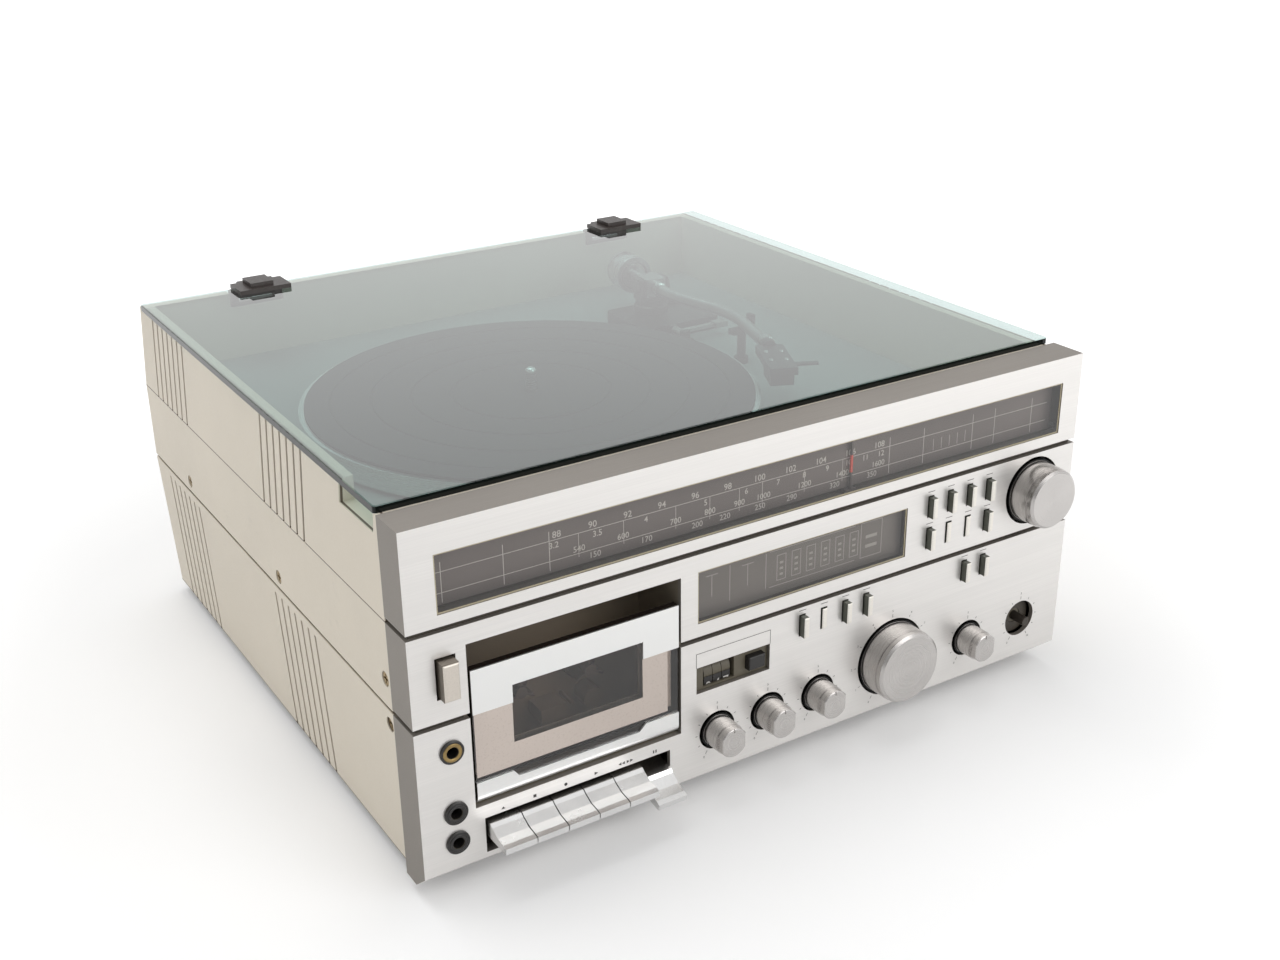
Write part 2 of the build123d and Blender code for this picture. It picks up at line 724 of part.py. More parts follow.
# Yoke that swivels on the pillar
with BuildPart() as arm_yoke:
    rod_z(pivot_x, pivot_y, arm_swivel_shaft, deck_top + 4, yoke_low + 1)
    rod_z(pivot_x, pivot_y, pillar_radius + 0.5, yoke_low, yoke_low + yoke_disc)
    with Locations(arm_place):
        for side_x in (-1, 1):
            near = side_x * (arm_block + yoke_gap)
            far = near + side_x * cheek
            box_at(min(near, far), max(near, far), -6, 6, yoke_low + yoke_disc - 1, arm_height + 6)
        rod_x(0, arm_height, yoke_pin, -arm_block - yoke_gap - 1, arm_block + yoke_gap + 1)
save(arm_yoke.part, "arm_yoke")

# Arm: bearing block, S-shaped tube, rear stub and the counterweight on it
tube_points = [(0, -8), (3, -35), (21, -88), (8.7, -157)]
tube_bends = (60, 90)
stub_radius = 3.5
stub_length = 62
weight_start = 28
with BuildPart() as tonearm:
    with BuildLine(arm_plane) as tube_path:
        FilletPolyline(*tube_points, radius=tube_bends)
    with BuildSketch(Plane(origin=tube_path.line @ 0, z_dir=tube_path.line % 0)):
        Circle(arm_tube)
    sweep()
    with Locations(arm_place):
        box_at(-arm_block, arm_block, -9, 9, arm_height - 6.5, arm_height + 6.5)
        rod_y(0, arm_height, stub_radius, 8, stub_length)
        rod_x(0, arm_height, yoke_pin + running, -arm_block - 1, arm_block + 1, Mode.SUBTRACT)
        rod_y(0, arm_height, weight_radius, weight_start, weight_start + weight_length)
save(tonearm.part, "tonearm")

# Headshell with the cartridge and finger lift
shell_turn = 17.8
shell_low = arm_height - 3
cartridge_height = 8
shell_place = Location((tube_points[-1][0], tube_points[-1][1], 0), (0, 0, -shell_turn))
with BuildPart() as headshell:
    with Locations(arm_place):
        with Locations(shell_place):
            rod_y(0, arm_height, arm_tube + 1, -7, -0.5)
            box_at(-shell_width / 2, shell_width / 2, -6 - shell_length, -6,
                   shell_low, shell_low + shell_thickness)
            box_at(shell_width / 2, shell_width / 2 + 15, -44, -40, shell_low + 3, shell_low + 4.5)
            box_at(-7.5, 7.5, -48, -26, shell_low - cartridge_height, shell_low)
            box_at(-1, 1, -46, -44, shell_low - cartridge_height - 0.7, shell_low - cartridge_height)
save(headshell.part, "headshell")

# Push buttons: a bar that runs back through the carrier; a pressed one rests further in
for name, x, z, pressed in buttons:
    face = front - button_reach + (button_travel if pressed else 0)
    with BuildPart() as button:
        box_at(x - button_width / 2, x + button_width / 2, face, face + button_length,
               z - button_height / 2, z + button_height / 2)
        chamfer(button.faces().sort_by(Axis.Y)[0].edges(), 0.6)
    save(button.part, name)

# Power button
power_reach = 7
power_travel = 5
with BuildPart() as power_button:
    box_at(power_x - power_width / 2, power_x + power_width / 2, front - power_reach, front + 22,
           power_z - power_height / 2, power_z + power_height / 2)
    fillet(power_button.faces().sort_by(Axis.Y)[0].edges(), 1.2)
save(power_button.part, "power_button")

# Piano keys of the cassette deck, hinged on an axle behind the panel
key_top = key_slot_bottom + 19
key_axle_z = key_top - 5
key_axle_y = front + key_pivot
key_hub = 4
key_outline = [
    (-key_pivot - key_reach, -0.5),
    (-key_pivot - key_reach, -4),
    (-key_pivot - key_reach + 1.5, -4.5),
    (-key_pivot - 3, -4.5),
    (-key_pivot + 6, -4),
    (0, -key_hub),
    (0, key_hub),
    (-key_pivot + 6, 4.5),
    (-key_pivot + 1, 5),
    (-key_pivot - 3, 5),
    (-key_pivot - 5, 3.5),
    (-key_pivot - 11, 0.8),
    (-key_pivot - key_reach + 3, 0.2),
]


def key_point(across, up, angle):
    """A point of the key's outline, turned about the axle by the angle that the key is pressed."""
    y = key_axle_y + across * math.cos(angle) - up * math.sin(angle)
    z = key_axle_z + across * math.sin(angle) + up * math.cos(angle)
    return (y, z)


for number in range(key_count):
    low_x = key_slot_left + 1 + number * key_pitch + key_gap / 2
    high_x = low_x + key_pitch - key_gap
    angle = math.radians(key_travel) if number == pressed_key else 0
    with BuildPart() as key:
        with BuildSketch(Plane.YZ.offset(low_x)):
            with BuildLine():
                Polyline(*[key_point(across, up, angle) for across, up in key_outline], close=True)
            make_face()
        extrude(amount=high_x - low_x)
        rod_x(key_axle_y, key_axle_z, key_hub, low_x, high_x)
        rod_x(key_axle_y, key_axle_z, key_axle + running, low_x - 1, high_x + 1, Mode.SUBTRACT)
    save(key.part, f"tape_key_{number + 1}")


def knob(x, z, radius, reach, bevel, mark, name):
    """A turned knob with a flange at its foot and a bevelled tip, and its shaft.

    A small knob has two flats; the mark is a short notch at the rim, in degrees clockwise from the top."""
    tip = front - reach
    with BuildPart() as piece:
        rod_y(x, z, radius + knob_flange, front - 0.5, well_floor - moving)
        rod_y(x, z, radius, tip + knob_tip, front)
        rod_y(x, z, radius - knob_step, tip, tip + knob_tip)
        rod_y(x, z, shaft_radius, well_floor - moving, case_front + pot_depth - 2)
        if radius < small_well:
            for side_x in (-1, 1):
                edge = x + side_x * (radius - knob_flat)
                box_at(min(edge, edge + side_x * 4), max(edge, edge + side_x * 4),
                       tip - 1, tip + knob_tip, z - radius, z + radius, Mode.SUBTRACT)
        chamfer(piece.faces().sort_by(Axis.Y)[0].edges(), bevel)
        if mark is not None:
            with Locations(Location((x, tip, z), (0, mark, 0))):
                with Locations((0, 0, radius - bevel - knob_mark)):
                    Box(0.8, 1, 2 * knob_mark, mode=Mode.SUBTRACT)
    save(piece.part, name)


small_bevel = 0.5
large_bevel = 1.5
volume_mark = 145
for name, x in small_knobs:
    knob(x, knob_row, small_knob, knob_reach, small_bevel, 0, name)
knob(volume_x, volume_row, volume_radius, knob_reach + 1, large_bevel, volume_mark, "volume_knob")
knob(tuning_x, tuning_z, tuning_radius, knob_reach + 1.5, large_bevel, None, "tuning_knob")

# Bare shaft of the treble control
with BuildPart() as treble_shaft:
    rod_y(treble_x, knob_row, shaft_radius, front - 6, case_front + pot_depth - 2)
    box_at(treble_x + 2.2, treble_x + 4, front - 7, front + 4, knob_row - 4, knob_row + 4, Mode.SUBTRACT)
save(treble_shaft.part, "treble_shaft")

# Dial pointer: a needle on a slider that runs on the rail
pointer_x = left + 278
needle_y = front + 6.5
with BuildPart() as dial_pointer:
    box_at(pointer_x - 4, pointer_x + 4, needle_y, rail_y + 2, rail_z - 1.4, rail_z + 1.4)
    rod_x(rail_y, rail_z, rail_radius + running, pointer_x - 5, pointer_x + 5, Mode.SUBTRACT)
    box_at(pointer_x - 0.6, pointer_x + 0.6, needle_y, needle_y + 1.2, rail_z + 1, dial_high + 1)
save(dial_pointer.part, "dial_pointer")

# Panes in the two windows
pane_edge = 0.2
pane_face = front + 0.8
pane_thickness = 2.2
with BuildPart() as window_panes:
    box_at(dial_left + pane_edge, dial_right - pane_edge, pane_face, pane_face + pane_thickness,
           dial_low + pane_edge, dial_high - pane_edge)
    box_at(level_left + pane_edge, level_left + level_width - pane_edge, pane_face,
           pane_face + pane_thickness, level_low + pane_edge, level_high - pane_edge)
save(window_panes.part, "window_panes")

# Cassette well: the tray with heads, capstan and flywheel, tape motor, and the keys' axle
tray_front = front + panel_skin
tray_back = tray_front + well_depth
door_left = bay_left + door_margin
door_right = bay_left + bay_width - door_margin
door_low = bay_bottom + moving
door_axis_y = front + door_barrel
door_axis_z = door_low + door_barrel
reel_shaft = 2
capstan_x = bay_centre + 12
capstan_z = bay_bottom + 22
flywheel_radius = 30
with BuildPart() as cassette_well:
    box_at(bay_left - well_wall, bay_left + bay_width + well_wall, tray_front, tray_back,
           bay_bottom - well_wall, bay_top + well_wall)
    box_at(bay_left, bay_left + bay_width, tray_front - 1, tray_back - well_wall,
           bay_bottom, bay_top, Mode.SUBTRACT)
    rod_x(door_axis_y, door_axis_z, door_pin + running, bay_left - well_wall - 1,
          bay_left + bay_width + well_wall + 1, Mode.SUBTRACT)
    for side_x in (-1, 1):
        rod_y(bay_centre + side_x * hub_spacing / 2, reel_height, reel_shaft + running,
              tray_back - well_wall - 1, tray_back + 1, Mode.SUBTRACT)
    box_at(bay_centre - 8, bay_centre + 8, tray_back - 16, tray_back - well_wall,
           bay_bottom + 16, bay_bottom + 24)
    rod_y(capstan_x + 14, capstan_z - 2, 6, tray_back - 14, tray_back - well_wall)
    rod_y(capstan_x, capstan_z, 1.2 + running, tray_back - well_wall - 1, tray_back + 1, Mode.SUBTRACT)
    rod_y(capstan_x, capstan_z, 1.2, tray_back - 16, tray_back + 6)
    rod_y(capstan_x, capstan_z, flywheel_radius, tray_back + 2, tray_back + 8)
    rod_y(bay_left + 20, bay_top - 24, 15, tray_back, tray_back + 30)
    for low_x in (key_slot_left - 4, key_slot_right):
        box_at(low_x, low_x + 4, case_front, key_axle_y + 6, key_axle_z - 7, key_axle_z + 6)
    rod_x(key_axle_y, key_axle_z, key_axle, key_slot_left - 4, key_slot_right + 4)
save(cassette_well.part, "cassette_well")

# Reels
for name, side_x in (("reel_left", -1), ("reel_right", 1)):
    x = bay_centre + side_x * hub_spacing / 2
    with BuildPart() as reel:
        rod_y(x, reel_height, reel_shaft, tray_back - 14, tray_back + 1.5)
        rod_y(x, reel_height, 3.4, tray_back - 20, tray_back - 8)
        rod_y(x, reel_height, 10, tray_back - 8, tray_back - well_wall - moving)
        for turn in range(3):
            with Locations(Location((x, tray_back - 14, reel_height), (0, 120 * turn, 0))):
                Box(1.4, 10, 9.4, align=(Align.CENTER, Align.CENTER, Align.MIN))
    save(reel.part, name)

# Cassette door: smoked body with a hinge barrel, pins and pocket walls
door_top = door_low + door_height
door_face = front + trim_thickness
pocket_depth = 16
with BuildPart() as cassette_door:
    box_at(door_left, door_right, door_face, door_face + door_thickness, door_axis_z, door_top)
    rod_x(door_axis_y, door_axis_z, door_barrel - trim_thickness, door_left, door_right)
    for side_x in (-1, 1):
        edge = door_left if side_x < 0 else door_right - 2
        box_at(edge, edge + 2, door_face, door_face + door_thickness + pocket_depth,
               door_axis_z + 8, door_top - 14)
    box_at(door_left, door_right, door_face, door_face + door_thickness + pocket_depth,
           door_axis_z + 8, door_axis_z + 10)
    rod_x(door_axis_y, door_axis_z, door_pin, door_left - door_margin - well_wall + 0.2,
          door_right + door_margin + well_wall - 0.2)
save(cassette_door.part, "cassette_door")

# Silver plates on the door's face, one wrapped round the barrel, and the light mask behind the pane
notch_left = left + 55.6
notch_right = left + 134
upper_edge = lower_bottom + 98.2
notch_edge = lower_bottom + 108.6
lower_edge = lower_bottom + 57.5
mask_low = door_axis_z + 10
mask_window_low = lower_bottom + 74
with BuildPart() as door_trim:
    rod_x(door_axis_y, door_axis_z, door_barrel, door_left, door_right)
    rod_x(door_axis_y, door_axis_z, door_barrel - trim_thickness, door_left - 1, door_right + 1,
          Mode.SUBTRACT)
    box_at(door_left - 1, door_right + 1, door_axis_y - 8, door_axis_y + 8, door_axis_z,
           door_axis_z + 8, Mode.SUBTRACT)
    box_at(door_left - 1, door_right + 1, door_axis_y, door_axis_y + 8, door_axis_z - 8,
           door_axis_z + 1, Mode.SUBTRACT)
    with BuildSketch(Plane.XZ.offset(-front)):
        with BuildLine():
            Polyline(
                (door_left, door_top),
                (door_left, upper_edge),
                (notch_left, upper_edge),
                (notch_left, notch_edge),
                (notch_right, notch_edge),
                (notch_right, upper_edge),
                (door_right, upper_edge),
                (door_right, door_top),
                close=True,
            )
        make_face()
        with BuildLine():
            Polyline(
                (door_left, door_axis_z),
                (door_left, lower_edge),
                (notch_left - 1.5, lower_edge),
                (notch_left + 1.5, lower_edge - 4),
                (notch_right - 3, lower_edge - 4),
                (notch_right + 1.5, lower_edge),
                (door_right, lower_edge),
                (door_right, door_axis_z),
                close=True,
            )
        make_face()
    extrude(amount=-trim_thickness)
    mask_face = door_face + door_thickness
    box_at(door_left + 2, door_right - 2, mask_face, mask_face + 1, mask_low, door_top - 12)
    box_at(notch_left, notch_right, mask_face - 1, mask_face + 2, mask_window_low, notch_edge - 0.5,
           Mode.SUBTRACT)
save(door_trim.part, "door_trim")

# Button that sets the tape counter to zero
reset_left = counter_left + 35
reset_width = 11
counter_middle = (counter_low + counter_high) / 2
reset_half = 4.2
counter_face = front + 2.5
with BuildPart() as counter_reset:
    box_at(reset_left, reset_left + reset_width, front - 1.5, front + 10,
           counter_middle - reset_half, counter_middle + reset_half)
    fillet(counter_reset.faces().sort_by(Axis.Y)[0].edges(), 0.8)
save(counter_reset.part, "counter_reset")


def switch_bank(x0, x1, z0, z1):
    """A switch block behind the carrier, clear of the buttons' tails, on two end posts."""
    start = front - button_reach + button_travel + button_length + 1
    box_at(x0, x1, start, start + 14, z0, z1)
    for low_x in (x0, x1 - 2):
        box_at(low_x, low_x + 2, case_front, start, z0, z1)


# Controls behind the panels: potentiometers, switch banks, sockets and the tape counter
wheel_radius = 5.8
with BuildPart() as panel_controls:
    for x, z, radius in wells:
        rod_y(x, z, pot_radius, case_front, case_front + pot_depth)
        rod_y(x, z, bush_radius - running, well_floor + 0.5, case_front)
        rod_y(x, z, shaft_radius + running, front, case_front + pot_depth + 1, Mode.SUBTRACT)
    bank_margin = 8
    switch_bank(cluster_x - bank_margin, cluster_x + 3 * cluster_pitch + bank_margin,
                low_row - 9, upper_row + 9)
    switch_bank(selector_x - bank_margin, selector_x + 3 * selector_pitch + bank_margin,
                push_row - 9, push_row + 9)
    switch_bank(pair_x - bank_margin, pair_x + cluster_pitch + bank_margin, push_row - 9, push_row + 9)
    power_end = front + 22 + power_travel + 1
    box_at(power_x - 7, power_x + 7, power_end, power_end + 16, power_z - 12, power_z + 12)
    for low_z in (power_z - 14, power_z + 12):
        box_at(power_x - 7, power_x + 7, case_front, power_end + 16, low_z, low_z + 2)
    for z in jack_heights:
        rod_y(jack_x, z, jack_flange, front - 1.2, front)
        rod_y(jack_x, z, jack_radius, front, front + jack_length + 1.5)
        rod_y(jack_x, z, jack_bore, front - 2, front + jack_length, Mode.SUBTRACT)
    box_at(counter_left + free, counter_left + counter_width - free, counter_face, front + 30,
           counter_low + free, counter_high - free)
    box_at(counter_left + 6, counter_left + 27, counter_face - 1, front + 17,
           counter_middle - 6.4, counter_middle + 6.4, Mode.SUBTRACT)
    box_at(reset_left - free, reset_left + reset_width + free, counter_face - 1, front + 14,
           counter_middle - reset_half - free, counter_middle + reset_half + free, Mode.SUBTRACT)
    for wheel in range(3):
        low_x = counter_left + 7.6 + wheel * 6
        rod_x(front + 9.7, counter_middle, wheel_radius, low_x, low_x + 5.6)
    rod_x(front + 9.7, counter_middle, 1, counter_left + 5.8, counter_left + 27.2)
save(panel_controls.part, "panel_controls")

# Circuit boards, transformer and heat sink on the lower case's floor
floor = lower_bottom + case_wall
board_level = floor + 8
board_left = left + 40
board_right = right - 150
board_front = case_front + 60
board_back = back - 60
sink_x = right - 110
with BuildPart() as electronics:
    box_at(board_left, board_right, board_front, board_back, board_level, board_level + 1.6)
    for x in (board_left + 8, board_right - 8):
        for y in (board_front + 8, board_back - 8):
            rod_z(x, y, 4, floor, board_level)
    for column in range(4):
        rod_z(board_left + 40 + column * 45, board_back - 40, 11, board_level + 1.6, board_level + 32)
        rod_z(board_left + 30 + column * 50, board_front + 60, 6, board_level + 1.6, board_level + 18)
    box_at(board_left + 70, board_right - 60, board_front + 100, board_front + 140,
           board_level + 1.6, board_level + 16)
    box_at(right - 95, right - 25, back - 105, back - 35, floor, floor + 55)
    box_at(right - 80, right - 40, back - 115, back - 25, floor + 8, floor + 47)
    for fin in range(8):
        box_at(sink_x + fin * 8, sink_x + fin * 8 + 2, case_front + 90, case_front + 190,
               floor, floor + 40)
    box_at(sink_x, sink_x + 58, case_front + 90, case_front + 190, floor, floor + 4)
save(electronics.part, "electronics")

# Rear socket panel behind the opening in the rear wall
with BuildPart() as rear_panel:
    inside = back - middle_wall
    box_at(-socket_width / 2 - 6, socket_width / 2 + 6, inside - 2, inside,
           socket_low - 3, socket_high + 3)
    middle = (socket_low + socket_high) / 2
    for column in range(3):
        x = -socket_width / 2 + 25 + column * 28
        rod_y(x, middle, 9, inside, inside + 2)
        rod_y(x, middle, 7, inside - 1, inside + 3, Mode.SUBTRACT)
    for column in range(4):
        x = 0 + column * 14
        for z in (middle - 7, middle + 7):
            rod_y(x, z, 4.2, inside, inside + 3)
            rod_y(x, z, 1.6, inside - 1, inside + 4, Mode.SUBTRACT)
    for column in range(4):
        x = -socket_width / 2 + 108 + column * 9
        box_at(x - 3, x + 3, inside, inside + 3.5, middle - 9, middle + 9)
    inlet_x = socket_width / 2 - 40
    box_at(inlet_x - 15, inlet_x + 15, inside, inside + 3, middle - 10, middle + 10)
    box_at(inlet_x - 11, inlet_x + 11, inside - 1, inside + 4, middle - 6, middle + 6, Mode.SUBTRACT)
    box_at(inlet_x - 13, inlet_x + 13, inside - 14, inside - 2, middle - 8, middle + 8)
    box_at(inlet_x - 11, inlet_x + 11, inside - 12, inside + 4, middle - 6, middle + 6, Mode.SUBTRACT)
    for x in (inlet_x - 5, inlet_x + 5):
        rod_y(x, middle, 1.2, inside - 12.5, inside - 1)
save(rear_panel.part, "rear_panel")
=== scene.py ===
import math

import bmesh
import bpy
from mathutils import Matrix, Vector


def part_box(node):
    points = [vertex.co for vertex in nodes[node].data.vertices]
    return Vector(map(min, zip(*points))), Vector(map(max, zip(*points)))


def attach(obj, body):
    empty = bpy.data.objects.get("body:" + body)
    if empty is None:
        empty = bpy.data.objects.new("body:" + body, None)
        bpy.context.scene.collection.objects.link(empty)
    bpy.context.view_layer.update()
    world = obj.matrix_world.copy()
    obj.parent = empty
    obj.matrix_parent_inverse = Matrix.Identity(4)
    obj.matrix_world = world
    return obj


# Looks of the music centre: materials, printed scales, small turned pieces, studio and camera.
# Places and sizes on the object are in millimetres, in the frame's axes; Blender works in metres.

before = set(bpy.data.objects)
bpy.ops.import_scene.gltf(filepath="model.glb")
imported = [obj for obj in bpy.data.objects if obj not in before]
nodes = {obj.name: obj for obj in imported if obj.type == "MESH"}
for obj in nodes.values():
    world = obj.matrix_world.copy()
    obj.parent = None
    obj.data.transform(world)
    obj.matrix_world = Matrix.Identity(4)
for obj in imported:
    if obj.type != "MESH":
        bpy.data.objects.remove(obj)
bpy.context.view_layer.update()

MM = 0.001
LEFT = -225.0
RIGHT = 225.0
FRONT = -204.0
DECK = 168.5
BOTTOM_CASE_LOW = 8
BOTTOM_CASE_HIGH = 105.5
PLINTH_LOW = 158.5
PLINTH_HIGH = 215


# Colours and material trees


def lin(red, green, blue):
    """A colour given as 0 to 255 screen values, as the shaders want it."""
    out = []
    for value in (red, green, blue):
        share = value / 255
        out.append(share / 12.92 if share <= 0.04045 else ((share + 0.055) / 1.055) ** 2.4)
    return (out[0], out[1], out[2], 1.0)


def shade(colour, factor):
    """The same colour, lighter or darker."""
    return (min(colour[0] * factor, 1), min(colour[1] * factor, 1), min(colour[2] * factor, 1), 1.0)


WHITE = (1, 1, 1, 1)
BLACK = (0.02, 0.02, 0.02, 1.0)
SILVER = (0.775, 0.755, 0.732, 1.0)
KNOB_SILVER = (0.52, 0.5, 0.485, 1)
SIDE_GREY = lin(132, 126, 119)
CREAM = lin(217, 208, 192)
# Painted shade for the case's side grooves and its lower edge
PAINTED_SHADE = lin(104, 92, 80)
DECK_GREY = lin(156, 162, 160)
CLEAR_BODY = (0.75, 0.8, 0.79, 1.0)


class Tree:
    """A material's node tree, with short ways to add and join nodes."""

    def __init__(self, name):
        self.material = bpy.data.materials.new(name)
        self.material.use_nodes = True
        self.nodes = self.material.node_tree.nodes
        self.links = self.material.node_tree.links
        self.shader = self.nodes["Principled BSDF"]
        self.output = self.nodes["Material Output"]
        self.place = self.nodes.new("ShaderNodeTexCoord")

    def add(self, kind, **values):
        """A new node with its settings."""
        node = self.nodes.new(kind)
        for key, value in values.items():
            setattr(node, key, value)
        return node

    def join(self, source, target):
        """A link from an output to an input."""
        self.links.new(source, target)

    def mapping(self, scale=(1, 1, 1), shift=(0, 0, 0)):
        """The object's own coordinates, scaled and then shifted, in metres."""
        node = self.add("ShaderNodeMapping")
        node.inputs["Scale"].default_value = scale
        node.inputs["Location"].default_value = shift
        self.join(self.place.outputs["Object"], node.inputs["Vector"])
        return node.outputs["Vector"]

    def noise(self, scale, detail=3.0, vector=None, rough=0.55):
        """Noise over the object, or over another vector."""
        node = self.add("ShaderNodeTexNoise")
        node.inputs["Scale"].default_value = scale
        node.inputs["Detail"].default_value = detail
        node.inputs["Roughness"].default_value = rough
        self.join(vector or self.place.outputs["Object"], node.inputs["Vector"])
        return node.outputs["Fac"]

    def span(self, source, low, high, start=0.3, end=0.7):
        """A result that runs from low to high while the source runs from start to end."""
        node = self.add("ShaderNodeMapRange")
        node.inputs["From Min"].default_value = start
        node.inputs["From Max"].default_value = end
        node.inputs["To Min"].default_value = low
        node.inputs["To Max"].default_value = high
        self.join(source, node.inputs["Value"])
        return node.outputs["Result"]

    def blend(self, factor, first, second):
        """A mix of two colours; each is a plain colour or another node's output."""
        node = self.add("ShaderNodeMix", data_type="RGBA")
        self.join(factor, node.inputs[0])
        for value, socket in ((first, node.inputs[6]), (second, node.inputs[7])):
            if isinstance(value, tuple):
                socket.default_value = value
            else:
                self.join(value, socket)
        return node.outputs[2]

    def tones(self, source, colour, darker, lighter):
        """One colour in slightly different tones, as the source runs."""
        return self.blend(self.span(source, 0, 1), shade(colour, darker), shade(colour, lighter))

    def bump(self, height, strength, distance):
        """A height turned into a normal; the distance is in metres."""
        node = self.add("ShaderNodeBump")
        node.inputs["Strength"].default_value = strength
        node.inputs["Distance"].default_value = distance
        self.join(height, node.inputs["Height"])
        return node.outputs["Normal"]

    def math(self, operation, first, second=0.0):
        """A number worked out from numbers or other nodes' outputs."""
        node = self.add("ShaderNodeMath", operation=operation)
        for value, socket in ((first, node.inputs[0]), (second, node.inputs[1])):
            if isinstance(value, (int, float)):
                socket.default_value = value
            else:
                self.join(value, socket)
        return node.outputs[0]

    def parts(self, source):
        """The three numbers of a vector."""
        node = self.add("ShaderNodeSeparateXYZ")
        self.join(source, node.inputs[0])
        return node.outputs

    def facing(self):
        """The three numbers of the surface's own normal."""
        return self.parts(self.place.outputs["Normal"])

    def mix_shaders(self, factor, first, second):
        """A mix of two shaders."""
        node = self.add("ShaderNodeMixShader")
        self.join(factor, node.inputs[0])
        self.join(first, node.inputs[1])
        self.join(second, node.inputs[2])
        return node.outputs[0]

    def feed(self, **outputs):
        """Join outputs to the shader's inputs; an underscore stands for a space."""
        for key, output in outputs.items():
            self.join(output, self.shader.inputs[key.replace("_", " ")])

    def set(self, **values):
        """Set the shader's inputs to constants; an underscore stands for a space."""
        for key, value in values.items():
            self.shader.inputs[key.replace("_", " ")].default_value = value


# Kinds of material


def plastic(name, colour, rough=0.45, grain=900, strength=0.12, spread=0.06, marked=None, metallic=0.0):
    """Moulded plastic or paint: fine grain, patches of slightly different tone, uneven gloss."""
    t = Tree(name)
    tone = t.tones(t.noise(9, 4), colour, 1 - spread, 1 + spread)
    if marked:
        marks = t.noise(60, 6, rough=0.7)
        tone = t.blend(t.span(marks, 0, 0.55, 0.62, 0.74), tone, marked)
    fine = t.noise(grain, 2)
    t.feed(Base_Color=tone, Roughness=t.span(fine, rough - 0.06, rough + 0.08),
           Normal=t.bump(fine, strength, 0.0004))
    t.set(Metallic=metallic)
    return t.material


GROOVE_START = 0.7
GROOVE_END = 2.1
SEAM = 0.7


def case_plastic(name, colour, low, high, draft):
    """Painted case: fine grain, painted shade in the side grooves and along the lower edge, a grey deck
    inside the rim.

    The side walls lean by draft between the heights low and high, outward going up where it is
    negative. A place is in a groove where it lies between GROOVE_START and GROOVE_END behind the wall.
    """
    t = Tree(name)
    tone = t.tones(t.noise(9, 4), colour, 0.965, 1.035)
    marks = t.noise(60, 6, rough=0.7)
    tone = t.blend(t.span(marks, 0, 0.5, 0.64, 0.76), tone, shade(colour, 0.88))
    place = t.parts(t.place.outputs["Object"])
    lean = t.math("MULTIPLY", t.math("SUBTRACT", place[2], low * MM), draft / (high - low))
    wall = t.math("SUBTRACT", RIGHT * MM, lean)
    inward = t.math("SUBTRACT", wall, t.math("ABSOLUTE", place[0]))
    if draft < 0:
        inward = t.math("ADD", inward, draft * MM)
    groove = t.math("MULTIPLY", t.math("GREATER_THAN", inward, GROOVE_START * MM),
                    t.math("LESS_THAN", inward, GROOVE_END * MM))
    seam = t.math("LESS_THAN", place[2], (low + SEAM) * MM)
    # Painted shade: the groove floors and the case's lowest band are darkened where shade falls
    tone = t.blend(t.math("MAXIMUM", groove, seam), tone, PAINTED_SHADE)
    under = t.math("LESS_THAN", place[2], (DECK + 1) * MM)
    flat = t.math("MULTIPLY", t.math("GREATER_THAN", t.facing()[2], 0.5), under)
    on_deck = t.math("MULTIPLY", flat, t.math("GREATER_THAN", place[2], (DECK - 1) * MM))
    tone = t.blend(on_deck, tone, DECK_GREY)
    fine = t.noise(700, 2)
    t.feed(Base_Color=tone, Roughness=t.span(fine, 0.44, 0.58), Normal=t.bump(fine, 0.16, 0.0004))
    return t.material


def faced(name, front, side):
    """A moulded and plated piece: bright on the face that looks forward, with painted shade on its flanks."""
    t = Tree(name)
    fine = t.noise(1100, 3)
    bright = t.tones(fine, front, 0.93, 1.04)
    flank_shade = t.tones(fine, side, 0.9, 1.1)
    flank = t.math("GREATER_THAN", t.facing()[1], -0.5)
    # Painted shade: the flanks take the darker side colour
    t.feed(Base_Color=t.blend(flank, bright, flank_shade), Roughness=t.span(fine, 0.28, 0.4))
    t.set(Metallic=0.6)
    return t.material


def panel_metal(name, colour, side):
    """Aluminium ground along its length on the front face, grey paint on its edges and top."""
    t = Tree(name)
    grain = t.noise(1, 5, t.mapping((14, 900, 2600)), 0.7)
    streak = t.noise(1, 3, t.mapping((3, 40, 160)), 0.6)
    face = t.tones(streak, colour, 0.97, 1.03)
    face = t.blend(t.span(grain, 0, 1), shade(colour, 0.92), face)
    paint = t.tones(t.noise(5, 3), side, 0.92, 1.08)
    painted = t.math("GREATER_THAN", t.facing()[1], -0.5)
    rough = t.math("ADD", t.span(grain, 0.3, 0.42), t.math("MULTIPLY", painted, 0.12))
    t.feed(Base_Color=t.blend(painted, face, paint), Metallic=t.span(painted, 0.7, 0.25, 0, 1),
           Roughness=rough, Normal=t.bump(grain, 0.1, 0.0002))
    return t.material


